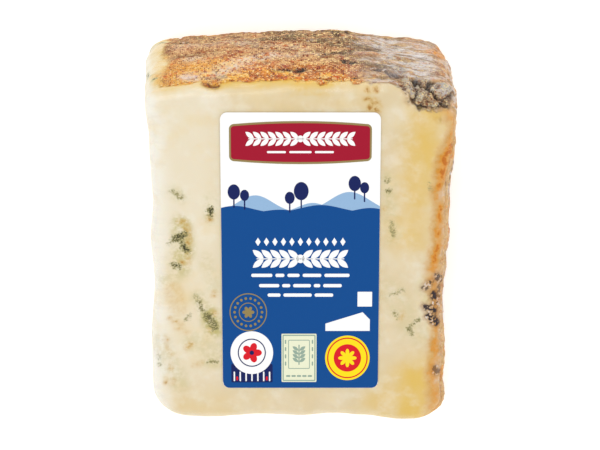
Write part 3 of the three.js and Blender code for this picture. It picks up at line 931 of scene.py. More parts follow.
def field(tree, name):
    """One of the mesh's own masks."""
    return add(tree, "ShaderNodeAttribute", out="Fac", attribute_name=name)


def places(tree, stretch=(1, 1, 1)):
    """Object coordinates in mm, times a factor for each axis. One below 1 draws noise out along its axis."""
    here = add(tree, "ShaderNodeTexCoord", out="Object")
    scale = tuple(s / MM for s in stretch)
    return add(tree, "ShaderNodeVectorMath", {0: here, 1: scale}, operation="MULTIPLY")


def cloudy(tree, where, size, detail=3.0, roughness=0.55, shift=0.0):
    """Noise of a size in mm, from 0 to 1."""
    inputs = {"Vector": where, "W": shift, "Scale": 1 / size, "Detail": detail, "Roughness": roughness}
    return add(tree, "ShaderNodeTexNoise", inputs, noise_dimensions="4D")


def bump(tree, height):
    """The surface's normal, tilted by a height in metres."""
    return add(tree, "ShaderNodeBump", {"Strength": 1.0, "Distance": 1.0, "Height": height}, out="Normal")


def new_material(name):
    """An empty material and its node tree."""
    material = bpy.data.materials.new(name)
    material.use_nodes = True
    material.node_tree.nodes.clear()
    return material, material.node_tree


def finish_material(tree, shader):
    """Links the shader to the material's output."""
    output = tree.nodes.new("ShaderNodeOutputMaterial")
    tree.links.new(shader, output.inputs["Surface"])


def new_group(name, inputs, outputs):
    """An empty node group with float inputs (name, default) and outputs (name, socket type)."""
    tree = bpy.data.node_groups.new(name, "ShaderNodeTree")
    for label, value in inputs:
        tree.interface.new_socket(label, in_out="INPUT", socket_type="NodeSocketFloat").default_value = value
    for label, kind in outputs:
        tree.interface.new_socket(label, in_out="OUTPUT", socket_type=kind)
    return tree, tree.nodes.new("NodeGroupInput"), tree.nodes.new("NodeGroupOutput")


def surface_grain():
    """Node group: fine grain of a given size and depth, as a value round 1 for colour and as a normal."""
    known = bpy.data.node_groups.get("surface_grain")
    if known:
        return known
    tree, given, result = new_group(
        "surface_grain",
        (("Size mm", 1.0), ("Depth mm", 0.02), ("Contrast", 0.1)),
        (("Tone", "NodeSocketFloat"), ("Normal", "NodeSocketVector")),
    )
    inputs = {
        "Vector": places(tree),
        "Scale": calc(tree, "DIVIDE", 1.0, given.outputs["Size mm"]),
        "Detail": 3.0,
        "Roughness": 0.6,
    }
    speckle = add(tree, "ShaderNodeTexNoise", inputs)
    swing = times(tree, calc(tree, "SUBTRACT", speckle, 0.5), given.outputs["Contrast"])
    tall = times(tree, speckle, times(tree, given.outputs["Depth mm"], MM))
    tree.links.new(plus(tree, swing, 1.0), result.inputs["Tone"])
    tree.links.new(bump(tree, tall), result.inputs["Normal"])
    return tree


def grain(tree, size, depth, contrast):
    """Places the grain group, and returns its tone and its normal."""
    made = tree.nodes.new("ShaderNodeGroup")
    made.node_tree = surface_grain()
    for label, value in (("Size mm", size), ("Depth mm", depth), ("Contrast", contrast)):
        made.inputs[label].default_value = value
    return made.outputs["Tone"], made.outputs["Normal"]


# ---- materials -----------------------------------------------------------------------------------
def toned(tree, colour, tone):
    """A colour made lighter and darker by a tone that varies round 1."""
    return add(tree, "ShaderNodeVectorMath", {0: tuple(colour), "Scale": tone}, operation="SCALE")


def mm_noise(tree, where, size, shift, spread):
    """Noise of a size, centred on 0 and spread over so many mm."""
    return times(tree, calc(tree, "SUBTRACT", cloudy(tree, where, size, shift=shift), 0.5), spread)


def grains(tree, where, size):
    """Small soft grains: each has a number of its own, from 0 to 1, that fades to a half at its rim."""
    rough = {"Vector": where, "Scale": 0.8 / size, "Detail": 1}
    warp = add(tree, "ShaderNodeTexNoise", rough, out="Color")
    warped = add(tree, "ShaderNodeVectorMath", {0: warp, 1: (size,) * 3, 2: where}, operation="MULTIPLY_ADD")
    distance = add(tree, "ShaderNodeTexVoronoi", {"Vector": warped, "Scale": 1 / size}, out="Distance")
    cells = add(tree, "ShaderNodeTexVoronoi", {"Vector": warped, "Scale": 1 / size}, out="Color")
    own = add(tree, "ShaderNodeSeparateColor", {"Color": cells}, out="Red")
    return blend_values(tree, ease(tree, distance, 0.34, 0.68), own, 0.5)


def paste_colour(tree, colours, where):
    """Cream, warmer towards the middle, golden near the rind, pale along the plain cut, halos and stains;
    then the orange seep beside the rind and the end's skin with the orange line under it.
    """
    clouds = cloudy(tree, where, 8)
    mottle = cloudy(tree, where, 2.4, shift=1)
    fine = cloudy(tree, where, 1, shift=2)
    warm = times(tree, field(tree, "warm"), ease(tree, clouds, 0.3, 0.66, 0.55, 1))
    golden = times(tree, field(tree, "golden"), ease(tree, clouds, 0.32, 0.62, 0.6, 1))
    milk = ease(tree, cloudy(tree, where, 4.5, shift=12), 0.46, 0.74, 0, 0.36)
    butter = ease(tree, cloudy(tree, where, 6, shift=16), 0.48, 0.72, 0, 0.4)
    halo = times(tree, field(tree, "halo"), ease(tree, plus(tree, mottle, fine), 0.8, 1.16, 0.2, 1.1))
    stain = times(tree, field(tree, "stain"), ease(tree, fine, 0.34, 0.66, 0.4, 1.15))
    seep = plus(tree, field(tree, "seep_gap"), mm_noise(tree, where, 1.8, 13, 2.2))
    skin = blend(tree, ease(tree, mottle, 0.4, 0.6), colours.rime, colours.lilac)
    line = plus(tree, field(tree, "line_gap"), mm_noise(tree, where, 2, 18, 2.6))
    broken = ease(tree, cloudy(tree, where, 1.8, shift=34), 0.38, 0.6, 0.55, 1)
    there = times(tree, field(tree, "line"), broken)
    core = plus(tree, line, mm_noise(tree, where, 0.8, 19, 2.6))
    core = times(tree, ease(tree, core, 0.6, -1), there)
    return coat(
        tree,
        colours.cream,
        (warm, colours.straw),
        (golden, colours.golden),
        (field(tree, "pale"), colours.pale),
        (milk, colours.pale),
        (butter, colours.butter),
        (halo, colours.halo),
        (stain, colours.stain),
        (ease(tree, stain, 0.35, 1, 0, 0.75), colours.brown),
        (ease(tree, seep, 2.8, -0.2, 0, 0.85), colours.golden),
        (ease(tree, seep, 0.9, -0.5, 0, 0.6), colours.amber),
        (times(tree, field(tree, "skin"), 0.85), skin),
        (ease(tree, line, 2.6, 0.4, 0, 0.4), colours.rime),
        (times(tree, ease(tree, line, 2.2, -0.2), there), colours.seep),
        (core, colours.thread),
        (ease(tree, core, 0.65, 1, 0, 0.7), colours.orange_deep),
    )


def vein_masks(tree, where, share):
    """How much mould, and how much of its cast: along the placed veins, and where swirling noise crosses its
    middle on the faces that carry none.
    """
    ragged = plus(tree, mm_noise(tree, where, 0.5, 3, 1.9), mm_noise(tree, where, 1.7, 14, 1.7))
    gap = plus(tree, field(tree, "vein_gap"), ragged)
    placed = times(tree, ease(tree, gap, 0.85, -0.4), field(tree, "vein"))
    swirl = calc(tree, "ABSOLUTE", mm_noise(tree, where, 13, 20, 1))
    gathered = ease(tree, cloudy(tree, where, 11, detail=1, shift=30), 0.46, 0.6)
    there = times(tree, field(tree, "hidden"), gathered, calc(tree, "SUBTRACT", 1, share))
    broken = ease(tree, cloudy(tree, where, 1.6, shift=31), 0.4, 0.6, 0.2, 1)
    wild = times(tree, ease(tree, swirl, 0.02, 0.004), there, broken)
    cast = times(tree, ease(tree, swirl, 0.07, 0, 0, 0.6), there)
    return calc(tree, "MAXIMUM", placed, wild), cast


def mould_layers(tree, colours, where, share):
    """Layers of mould: its cast, the veins and their dark places, then the flecks beside the rind."""
    mould, cast = vein_masks(tree, where, share)
    crumb = cloudy(tree, where, 0.55, shift=21, roughness=0.7)
    mould = times(tree, mould, ease(tree, crumb, 0.6, 0.44, 0.4, 1.15))
    gap = plus(tree, field(tree, "fleck_gap"), mm_noise(tree, where, 1.2, 26, 1.6))
    bed = times(tree, ease(tree, gap, 1.1, 0, 0, 0.5), field(tree, "fleck"))
    fleck = times(tree, ease(tree, gap, 0.3, -0.3), field(tree, "fleck"))
    chunk = cloudy(tree, where, 0.9, detail=1.5, shift=33)
    return (
        (cast, colours.halo),
        (ease(tree, mould, 0, 0.6), colours.mould),
        (ease(tree, mould, 0.4, 1), colours.mould_dark),
        (bed, colours.brown),
        (times(tree, fleck, ease(tree, chunk, 0.54, 0.47)), colours.mould_rind),
        (times(tree, fleck, ease(tree, chunk, 0.58, 0.64)), colours.lilac),
    )


def orange_layer(tree, colours, patch, crumb):
    """Orange rind with amber places and deep specks, the other way about towards the plain side."""
    orange = coat(
        tree,
        colours.orange,
        (ease(tree, patch, 0.44, 0.6), colours.amber),
        # The deep specks partly paint the rough crust's tiny shadows: painted shade.
        (ease(tree, crumb, 0.48, 0.62, 0, 0.9), colours.orange_deep),
    )
    warmer = blend(tree, ease(tree, crumb, 0.5, 0.7), colours.amber, colours.orange)
    orange = blend(tree, times(tree, field(tree, "amber"), 0.8), orange, warmer)
    even = times(tree, field(tree, "amber"), 0.85)
    share = calc(tree, "MAXIMUM", ease(tree, patch, 0.36, 0.52, 0.5, 1), even)
    return times(tree, field(tree, "orange"), share), orange


def clod_colour(tree, colours, where):
    """Lumps of the crumbled corner by their tones, then painted shade: brown at their borders, and dark in
    the cracks and pits between them.
    """
    tone = plus(tree, field(tree, "lump_tone"), mm_noise(tree, where, 0.5, 23, 3))
    border = plus(tree, field(tree, "lump"), mm_noise(tree, where, 0.6, 24, 2))
    pit = calc(tree, "MINIMUM", border, plus(tree, field(tree, "lump_tone"), 0.5))
    return coat(
        tree,
        colours.dusk,
        (ease(tree, tone, 0, 0.25), colours.ash),
        (ease(tree, tone, 0.45, 0.75), colours.lichen),
        (ease(tree, tone, 0.85, 1.05), colours.slate),
        (ease(tree, border, 0.45, 0.1, 0, 0.6), colours.brown),
        (ease(tree, pit, 0.05, -0.3, 0, 0.8), colours.crack),
    )


def grain_layers(tree, colours, where, streaks):
    """The rind's grains, larger ones and then fine ones: a darker cast for some, partly painted shade of the
    rough crust, and pale crumbs.
    """
    grainy = calc(tree, "MAXIMUM", field(tree, "grainy"), times(tree, field(tree, "crag"), 0.7))
    large = plus(tree, grains(tree, streaks, 1), mm_noise(tree, where, 0.5, 37, 0.9))
    small = plus(tree, grains(tree, where, 0.48), mm_noise(tree, where, 2.6, 9, 0.7))
    off_rim = ease(tree, field(tree, "rim"), 0, 1, 1, 0.2)
    return (
        (times(tree, ease(tree, large, 0.42, 0.14, 0, 0.9), grainy), colours.ember, "MULTIPLY"),
        (times(tree, ease(tree, large, 0.68, 0.9, 0, 0.5), grainy), colours.crumb),
        (times(tree, ease(tree, small, 0.62, 0.84, 0, 0.95), grainy), colours.bloom),
        (times(tree, ease(tree, small, 0.42, 0.2), grainy, off_rim), colours.deep, "MULTIPLY"),
    )


def rind_colour(tree, colours, where, streaks):
    """Brown and beige rind, orange near the cuts, grey with painted lilac film sheen in streaks at the
    drum's end, then dry places and darker places, the crumbled corner, grains, and painted shade: the dark
    of hollows under the film and of cracks.
    """
    crumb = cloudy(tree, where, 0.8, shift=5)
    patch = cloudy(tree, streaks, 3.2, shift=6, roughness=0.7)
    # Painted film sheen: pale lilac streaks drawn out along the drum's axis over the grey rind.
    sheen_streak = cloudy(tree, places(tree, (0.22, 1, 1)), 1.5, shift=7)
    thin = cloudy(tree, places(tree, (0.16, 1, 1)), 0.8, shift=36)
    grey = coat(
        tree,
        colours.grey,
        (ease(tree, patch, 0.44, 0.56, 0, 0.9), colours.tan),
        (ease(tree, sheen_streak, 0.42, 0.58), colours.lilac),
        (ease(tree, thin, 0.44, 0.34, 0, 0.8), colours.brown),
    )
    rim = coat(
        tree,
        colours.rime,
        (ease(tree, patch, 0.44, 0.58), colours.tan),
        (ease(tree, cloudy(tree, where, 3.6, shift=35), 0.54, 0.62, 0, 0.8), colours.ochre),
    )
    broad = times(tree, ease(tree, cloudy(tree, where, 9, shift=27), 0.36, 0.54), field(tree, "end"))
    strewn = ease(tree, crumb, 0.36, 0.62, 0.35, 1)
    back = times(tree, field(tree, "back"), ease(tree, patch, 0.6, 0.42, 0.2, 0.9))
    dusk = times(tree, field(tree, "dusk"), ease(tree, crumb, 0.34, 0.56, 0.45, 1))
    # Painted shade: the rind darkens along the cracks and with the depth of hollows under the film.
    wander = plus(tree, mm_noise(tree, where, 3, 28, 1.8), mm_noise(tree, where, 0.8, 25, 1.8))
    crack = ease(tree, plus(tree, field(tree, "crack_gap"), wander), 0.35, -0.15)
    hollow = ease(tree, field(tree, "hollow"), 0.45, 1.3, 0, 0.8)
    return coat(
        tree,
        colours.brown,
        (ease(tree, patch, 0.38, 0.56, 0.1, 1), colours.beige),
        (field(tree, "grey"), grey),
        (broad, grey),
        (field(tree, "rim"), rim),
        orange_layer(tree, colours, patch, crumb),
        (times(tree, field(tree, "chalk"), strewn), colours.chalk),
        (times(tree, field(tree, "rust"), strewn), colours.orange_deep),
        (times(tree, field(tree, "ochre"), strewn), colours.ochre),
        (calc(tree, "MAXIMUM", back, dusk), colours.dusk),
        (field(tree, "crag"), clod_colour(tree, colours, where)),
        *grain_layers(tree, colours, where, streaks),
        (calc(tree, "MAXIMUM", hollow, crack), colours.crack),
    )


def cheese_material(colours):
    """Paste that light enters a little, dry crust where the rind lies, and mould in both."""
    material, tree = new_material("cheese")
    where = places(tree)
    streaks = places(tree, (0.65, 1, 1))
    gap = plus(tree, field(tree, "rind_gap"), mm_noise(tree, where, 1.4, 2, 2))
    share = ease(tree, gap, field(tree, "soft"), -0.35)
    colour = coat(
        tree,
        paste_colour(tree, colours, where),
        (share, rind_colour(tree, colours, where, streaks)),
        *mould_layers(tree, colours, where, share),
    )
    sand = times(tree, cloudy(tree, where, 0.6, shift=4), ease(tree, share, 0, 1, 0.03 * MM, 0.3 * MM))
    crust = times(tree, cloudy(tree, streaks, 1.6, shift=8), ease(tree, share, 0, 1, 0, 0.6 * MM))
    shader = add(tree, "ShaderNodeBsdfPrincipled", {
        "Base Color": colour,
        "Roughness": ease(tree, share, 0, 1, 0.42, 0.75),
        "Normal": bump(tree, plus(tree, sand, crust)),
        "Subsurface Weight": 0.12,
        "Subsurface Radius": (1.0, 0.6, 0.3),
        "Subsurface Scale": 2.5 * MM,
        "Specular IOR Level": 0.25,
    })
    finish_material(tree, shader)
    return material


def film_material(settings):
    """Clear film: what is behind it shows through, with a mirror look by Fresnel, and a little milk-white
    where it stands off the cheese, laid also where glare and sheen of the film are painted.
    """
    material, tree = new_material("film")
    ripple = bump(tree, times(tree, cloudy(tree, places(tree), 4, detail=1), 0.1 * MM))
    clear = add(tree, "ShaderNodeBsdfTransparent")
    gloss = add(tree, "ShaderNodeBsdfAnisotropic", {"Color": (1, 1, 1), "Roughness": 0.1, "Normal": ripple})
    milk = {"Base Color": settings.haze, "Roughness": 0.45, "Normal": ripple}
    milky = add(tree, "ShaderNodeBsdfPrincipled", milk)
    fresnel = add(tree, "ShaderNodeFresnel", {"IOR": 1.4, "Normal": ripple})
    mirror = calc(tree, "MINIMUM", times(tree, fresnel, 0.5), FILM_MIRROR_MOST)
    streaks = cloudy(tree, places(tree, (0.25, 1, 1)), 2.4, shift=6)
    haze = times(tree, field(tree, "haze"), ease(tree, streaks, 0.45, 0.66, 0.25, 1))
    seen = add(tree, "ShaderNodeMixShader", {0: mirror, 1: clear, 2: gloss})
    seen = add(tree, "ShaderNodeMixShader", {0: haze, 1: seen, 2: milky})
    finish_material(tree, seen)
    return material


def ink_material(name, colour):
    """Printed or bare coated paper: the colour with a faint paper grain in tone and normal."""
    material, tree = new_material(name)
    tone, normal = grain(tree, 0.6, 0.004, 0.05)
    shader = add(tree, "ShaderNodeBsdfPrincipled", {
        "Base Color": toned(tree, colour, tone),
        "Roughness": 0.34,
        "Normal": normal,
        "Specular IOR Level": 0.12,
    })
    finish_material(tree, shader)
    return material


def floor_material(colour):
    """A matt, pale floor with a faint glow of its own, very slightly uneven in tone."""
    material, tree = new_material("floor")
    tone, _ = grain(tree, 30, 0, 0.01)
    shader = add(tree, "ShaderNodeBsdfPrincipled", {
        "Base Color": toned(tree, colour, tone),
        "Roughness": 0.9,
        "Specular IOR Level": 0.0,
        "Emission Color": (1, 1, 1),
        "Emission Strength": FLOOR_GLOW,
    })
    finish_material(tree, shader)
    return material


# ---- the label's print ---------------------------------------------------------------------------
# The design is drawn on a sheet DESIGN_WIDTH by DESIGN_LENGTH, centred, and stretched up the slope, because
# the pack is looked at from above, where the slope shortens it again.
STRETCH = 1.185
DESIGN_WIDTH, DESIGN_LENGTH = LABEL_WIDTH, LABEL_LENGTH / STRETCH
SHEET_LOW, SHEET_HIGH, INK_STEP = 0.02, 0.16, 0.012
INK_LOW = SHEET_HIGH - 2 * INK_STEP
INK_INSET = 0.03
FIELD_HALF = DESIGN_WIDTH / 2 - INK_INSET
FRAME_ROUND = 0.3
ROUND_STEPS, FINE_STEPS = 48, 72


def turn(count=ROUND_STEPS):
    """Angles once round, evenly spaced."""
    return np.arange(count) / count * 2 * math.pi


def ellipse(x, y, radius, tall=None, count=ROUND_STEPS):
    """An ellipse's outline: radius is half its width, and tall is half its height if that differs."""
    t = turn(count)
    return np.stack((x + radius * np.cos(t), y + (tall or radius) * np.sin(t)), axis=1)


def rounded(x, y, width, height, round_by, bow=0.0):
    """A rectangle with quarter circles at its four corners. bow swells the top and bottom edges."""
    t = turn()
    quarter = np.floor(t / (math.pi / 2))
    across = np.where((quarter == 0) | (quarter == 3), 1, -1) * (width / 2 - round_by)
    up = np.where(quarter < 2, 1, -1) * (height / 2 - round_by)
    u, v = across + round_by * np.cos(t), up + round_by * np.sin(t)
    u, v = (np.linspace(line, np.roll(line, -1), 9)[:-1].T.ravel() for line in (u, v))
    v = v + bow * (1 - (2 * u / width) ** 2) * np.sign(v)
    return np.stack((x + u, y + v), axis=1)


def petals(x, y, radius, count, depth=0.45):
    """A flower's outline: the radius swings by depth, count times round."""
    t = turn(96)
    reach = radius * (1 - depth + depth * abs(np.cos(count * t / 2)))
    return np.stack((x + reach * np.cos(t), y + reach * np.sin(t)), axis=1)


def leaf(x, y, length, width, angle):
    """A leaf's outline, pointed at both ends, with its middle at (x, y) and turned by angle in degrees."""
    t = turn(24)
    u, v = length / 2 * np.cos(t), width / 2 * np.sin(t) * abs(np.sin(t))
    c, s = math.cos(math.radians(angle)), math.sin(math.radians(angle))
    return np.stack((x + c * u - s * v, y + s * u + c * v), axis=1)


def lozenge(x, y, width, height):
    """A square on its point."""
    return np.array(((x + width / 2, y), (x, y + height / 2), (x - width / 2, y), (x, y - height / 2)))


def plate(edge, level, hole=None):
    """A closed flat plate: the outline below and above, joined to its middle, or to a hole's outline.

    A hole's outline has as many points as the plate's. level counts ink layers over the sheet.
    """
    n = len(edge)
    low, high = INK_LOW, SHEET_HIGH + level * INK_STEP
    here, after = np.arange(n), (np.arange(n) + 1) % n
    rings = [np.column_stack((edge, np.full(n, h))) for h in (low, high)]
    wall = np.stack((here, after, after + n, here + n), axis=1)
    if hole is None:
        poles = np.column_stack((np.repeat(edge.mean(0)[None], 2, axis=0), (low, high)))
        under = np.stack((np.full(n, 2 * n), after, here), axis=1)
        over = np.stack((np.full(n, 2 * n + 1), here + n, after + n), axis=1)
        return np.concatenate((*rings, poles)), [wall, under, over]
    rings += [np.column_stack((hole, np.full(n, h))) for h in (low, high)]
    inner = np.stack((after + 2 * n, here + 2 * n, here + 3 * n, after + 3 * n), axis=1)
    under = np.stack((here + 2 * n, after + 2 * n, after, here), axis=1)
    over = np.stack((here + n, after + n, after + 3 * n, here + 3 * n), axis=1)
    return np.concatenate(rings), [wall, inner, under, over]


def band(x, bottom, top, level):
    """A closed flat strip between two lines over x: a four-point profile carried along it, capped."""
    n = len(x)
    low, high = INK_LOW, SHEET_HIGH + level * INK_STEP
    rows = ((bottom, low), (top, low), (top, high), (bottom, high))
    points = np.concatenate([np.column_stack((x, np.broadcast_to(v, n), np.full(n, h))) for v, h in rows])
    here = np.arange(n - 1)
    sides = []
    for this, other in ((0, n), (n, 2 * n), (2 * n, 3 * n), (3 * n, 0)):
        sides.append(np.stack((here + this, here + other, here + 1 + other, here + 1 + this), axis=1))
    ends = np.array(((0, 3 * n, 2 * n, n), (n - 1, 2 * n - 1, 3 * n - 1, 4 * n - 1)))
    return points, [*sides, ends]


def ring(x, y, radius, thick, level):
    """A round rule: radius is its outer edge's, and thick goes inwards from there."""
    outer, inner = (ellipse(x, y, reach, count=FINE_STEPS) for reach in (radius, radius - thick))
    return plate(outer, level, inner)


def frame_line(x, y, width, height, thick, level):
    """A rectangular rule: width and height are its outer edge's, and thick goes inwards from there."""
    inner = rounded(x, y, width - 2 * thick, height - 2 * thick, max(FRAME_ROUND - thick, 0.05))
    return plate(rounded(x, y, width, height, FRAME_ROUND), level, inner)


def bar(x, y, width, height, level):
    """A bar with round ends."""
    return plate(rounded(x, y, width, height, min(width, height) * 0.49), level)


def sheet_edge(x, inset):
    """The sheet's lower edge over x, with its round corners, drawn in by inset."""
    half, corner = DESIGN_WIDTH / 2 - inset, LABEL_ROUND - inset
    into = np.clip(abs(x) - (half - corner), 0, corner)
    return -(DESIGN_LENGTH / 2 - inset) + (corner - np.sqrt(np.maximum(corner**2 - into**2, 0)))


def word_row(y, lengths, gap, height, level):
    """A row of short bars, centred, where a line of small print would be."""
    starts = np.cumsum([0, *lengths[:-1]]) + gap * np.arange(len(lengths))
    left = -(sum(lengths) + gap * (len(lengths) - 1)) / 2
    middles = left + starts + np.array(lengths) / 2
    return [bar(x, y, length, height, level) for x, length in zip(middles, lengths)]


def sprig(x, y, reach, pairs, size, level):
    """A stem lying along the row, with pairs of leaves that point outwards from its middle."""
    parts = [bar(x, y, 2 * reach, 0.22, level), plate(ellipse(x, y, size * 0.3), level)]
    for n in range(pairs):
        away = reach * (n + 0.8) / pairs
        for side, tilt in itertools.product((-1, 1), (-1, 1)):
            angle = tilt * 38 if side > 0 else 180 - tilt * 38
            place = (x + side * away, y + tilt * size * 0.32)
            parts.append(plate(leaf(*place, size, size * 0.42, angle), level))
    return parts


def hill_line(x, base, hills):
    """Rolling hills: the highest of several soft humps (place, half-width, height) over a base line."""
    humps = [base + h * np.exp(-(((x - at) / w) ** 2)) for at, w, h in hills]
    return np.maximum.reduce(humps)


FIELD_TOP = 9.6
BANNER_Y, BANNER_W, BANNER_H = 26.2, 33.6, 7.6
RING_PLACE = (-12.9, -14.4)
DISC_PLACE = (-12.1, -24.4)
PANEL_PLACE, PANEL_SIZE = (-0.35, -25.7), (8.7, 12.0)
YELLOW_PLACE = (11.7, -25.7)
# Trees: (across, up, the crown's radius).
TREES = (
    (-16.2, 14.6, 1.5), (-13.6, 13.8, 1.1), (-2.6, 13.2, 1.2),
    (0.2, 14.8, 1.8), (13.2, 16.6, 1.5), (15.6, 15.6, 1.1),
)
# Rows of bars: (up, their lengths, the gap between them, height).
WORD_ROWS = (
    (BANNER_Y - 2.2, (4.6, 5.4, 4.6), 0.8, 0.5),
    (-5.4, (5.2, 2.2, 3, 4.6, 6.2), 0.75, 0.8),
    (-7.9, (5, 2, 4.4, 1.6, 4.6), 0.7, 0.8),
    (-10.2, (3.2, 7, 4.6), 0.7, 0.8),
)
WEDGE_MARK = ((6.2, -19), (17.2, -19), (17.2, -16.2), (15.4, -14.4), (6.2, -17.2))


def blue_parts():
    """The blue field, from the sheet's lower edge up to a line of low hills."""
    x = np.linspace(-FIELD_HALF, FIELD_HALF, 161)
    hills = ((-16, 6, 1.7), (-5, 5, 0.8), (5, 7, 1.9), (17, 5, 1.2))
    return [band(x, sheet_edge(x, INK_INSET), hill_line(x, FIELD_TOP, hills), 1)]


def sky_parts():
    """Far hills in light blue above the field."""
    x = np.linspace(-FIELD_HALF, FIELD_HALF, 121)
    hills = ((-11, 6, 4.2), (3, 5, 2.4), (12, 7, 5.0))
    return [band(x, np.full(x.shape, FIELD_TOP - 0.5), hill_line(x, FIELD_TOP, hills), 0.5)]


def navy_parts():
    """Round trees on the hills, the ring of the white disc, and the striped panel under it."""
    parts = [plate(ellipse(x, y, radius, radius * 1.2), 1.5) for x, y, radius in TREES]
    parts += [bar(x, y - radius - 1, 0.35, 2.6, 1.4) for x, y, radius in TREES]
    x, y = DISC_PLACE
    parts.append(ring(x, y, 3.5, 0.28, 3))
    parts.append(plate(ellipse(x, y, 0.55), 4.5))
    parts.append(plate(rounded(x, y - 5.1, 10.3, 4.6, 0.3), 1.5))
    return parts


def white_parts():
    """Sprigs and rows of bars where words would be, the square, the wedge mark, the disc and the stripes."""
    parts = sprig(0, BANNER_Y + 0.9, 12.6, 7, 2.6, 2.5)
    parts += [plate(lozenge(x, 2.7, 1.3, 2), 2.5) for x in np.linspace(-10.4, 10.4, 11)]
    parts += sprig(0, -1.4, 10.8, 5, 3.4, 2.5)
    for y, lengths, gap, height in WORD_ROWS:
        parts += word_row(y, lengths, gap, height, 2.5)
    parts.append(plate(rounded(15.9, -11.2, 3.6, 3.6, 0.1), 2.5))
    parts.append(plate(np.array(WEDGE_MARK), 2.5))
    x, y = DISC_PLACE
    parts.append(plate(ellipse(x, y, 5.3, count=FINE_STEPS), 2.5))
    parts += [bar(x + dx, y - 5.9, 0.35, 2.4, 2.2) for dx in np.linspace(-4.4, 4.4, 7)]
    return parts


def red_parts():
    """The banner near the sheet's upper edge."""
    return [plate(rounded(0, BANNER_Y, BANNER_W, BANNER_H, 0.7, bow=0.75), 1.5)]


def scarlet_parts():
    """A flower on the white disc, short bars round it, and the yellow disc's heart and ring."""
    x, y = DISC_PLACE
    parts = [plate(petals(x, y, 2.5, 5), 3.5)]
    parts += [bar(x + dx, y - 6.4, 0.5, 1.0, 2.6) for dx in (-3.7, 3.7)]
    x, y = YELLOW_PLACE
    parts.append(plate(ellipse(x, y, 3.4), 3.5))
    parts.append(ring(x, y, 5.05, 0.3, 3.5))
    return parts


def gold_parts():
    """The banner's rule, and two rings with dots and a flower between and inside them."""
    outer = rounded(0, BANNER_Y, BANNER_W + 0.9, BANNER_H + 0.9, 1.1, bow=0.8)
    parts = [plate(outer, 0.8, rounded(0, BANNER_Y, BANNER_W - 0.1, BANNER_H - 0.1, 0.65, bow=0.75))]
    x, y = RING_PLACE
    parts += [ring(x, y, 4.65, 0.26, 2.5), ring(x, y, 2.35, 0.2, 2.5), plate(petals(x, y, 1.5, 6), 2.5)]
    parts += [plate(ellipse(u, v, 0.33, count=12), 2.5) for u, v in ellipse(x, y, 3.4, count=18)]
    return parts


def yellow_parts():
    """The yellow disc, and a small flower in its heart."""
    x, y = YELLOW_PLACE
    return [plate(ellipse(x, y, 5.55, count=FINE_STEPS), 2.5), plate(petals(x, y, 2.3, 8, 0.5), 4.5)]


def ivory_parts():
    """The pale panel."""
    return [plate(rounded(*PANEL_PLACE, *PANEL_SIZE, 0.25), 2.5)]


def sage_parts():
    """The pale panel's frames, a standing sprig, and bars along the foot and both sides."""
    x, y = PANEL_PLACE
    width, height = PANEL_SIZE
    parts = [frame_line(x, y, width - 0.5, height - 0.5, 0.28, 3.5)]
    parts.append(frame_line(x, y + 0.9, 5.4, 7.2, 0.18, 3.5))
    parts.append(bar(x, y + 0.8, 0.3, 5, 3.5))
    for n, side in itertools.product(range(4), (-1, 1)):
        place = (x + side * 0.85, y - 0.5 + 0.95 * n)
        parts.append(plate(leaf(*place, 1.8, 0.8, 90 - side * 55), 3.5))
    parts += [bar(x + dx, y - 4.5, 1.1, 0.45, 3.5) for dx in (-2.7, -1.35, 0, 1.35, 2.7)]
    parts += [bar(x + side * 3.35, y + dy, 0.35, 1, 3.5) for side in (-1, 1) for dy in (-1.4, 0.4, 2.2, 4)]
    return parts


def paper_parts():
    """The sheet itself, from just over the film to its printed surface."""
    edge = rounded(0, 0, DESIGN_WIDTH, DESIGN_LENGTH, LABEL_ROUND)
    n = len(edge)
    points, faces = plate(edge, 0)
    points[:n, 2] = SHEET_LOW
    points[2 * n, 2] = SHEET_LOW
    return [(points, faces)]


PRINT = (
    ("label_sheet", "paper", paper_parts),
    ("label_far_hills", "sky", sky_parts),
    ("label_blue_field", "blue", blue_parts),
    ("label_banner", "red", red_parts),
    ("label_gold_rules", "gold", gold_parts),
    ("label_white_marks", "paper", white_parts),
    ("label_navy_marks", "navy", navy_parts),
    ("label_ivory_panel", "ivory", ivory_parts),
    ("label_sage_marks", "sage", sage_parts),
    ("label_yellow_disc", "yellow", yellow_parts),
    ("label_scarlet_marks", "scarlet", scarlet_parts),
)


def on_label(points):
    """Design points (across, up, height) laid on the upper cut face."""
    u, v, h = points.T
    reach = LABEL_CENTRE + v * STRETCH
    return np.stack((LABEL_X + u, AXIS_Y + reach * COS_A - h * SIN_A, reach * SIN_A + h * COS_A), axis=1)


def join(parts):
    """Puts several (points, faces) parts together."""
    starts = np.cumsum([0] + [len(points) for points, _ in parts[:-1]])
    faces = [f + start for start, (_, group) in zip(starts, parts) for f in group]
    return np.concatenate([points for points, _ in parts]), faces


# ---- operators -----------------------------------------------------------------------------------
class CheesePiece(bpy.types.Operator):
    """Build the cheese: paste, veins and crusty rind as one closed surface"""

    bl_idname = "cheese.paste_and_rind"
    bl_label = "Cheese"

    def execute(self, context):
        film = context.scene.film_settings
        gap = film_height(film.clearance / MM, film.tension_rounds) - cheese_height()
        # The film's depth over hollows, less in the notch, darkens the rind as painted shade.
        in_notch = nearness(smooth_wedge()[0], NOTCH_SPOT, 2 * NOTCH_REACH)
        fields = {**cheese_fields(), "hollow": gap * (1 - 0.8 * in_notch)}
        material = cheese_material(context.scene.cheese_colours)
        make_skin("cheese", cheese_height(), UNDERSIDE_HOLLOW + UNDERSIDE_GAP, material, fields)
        return {"FINISHED"}


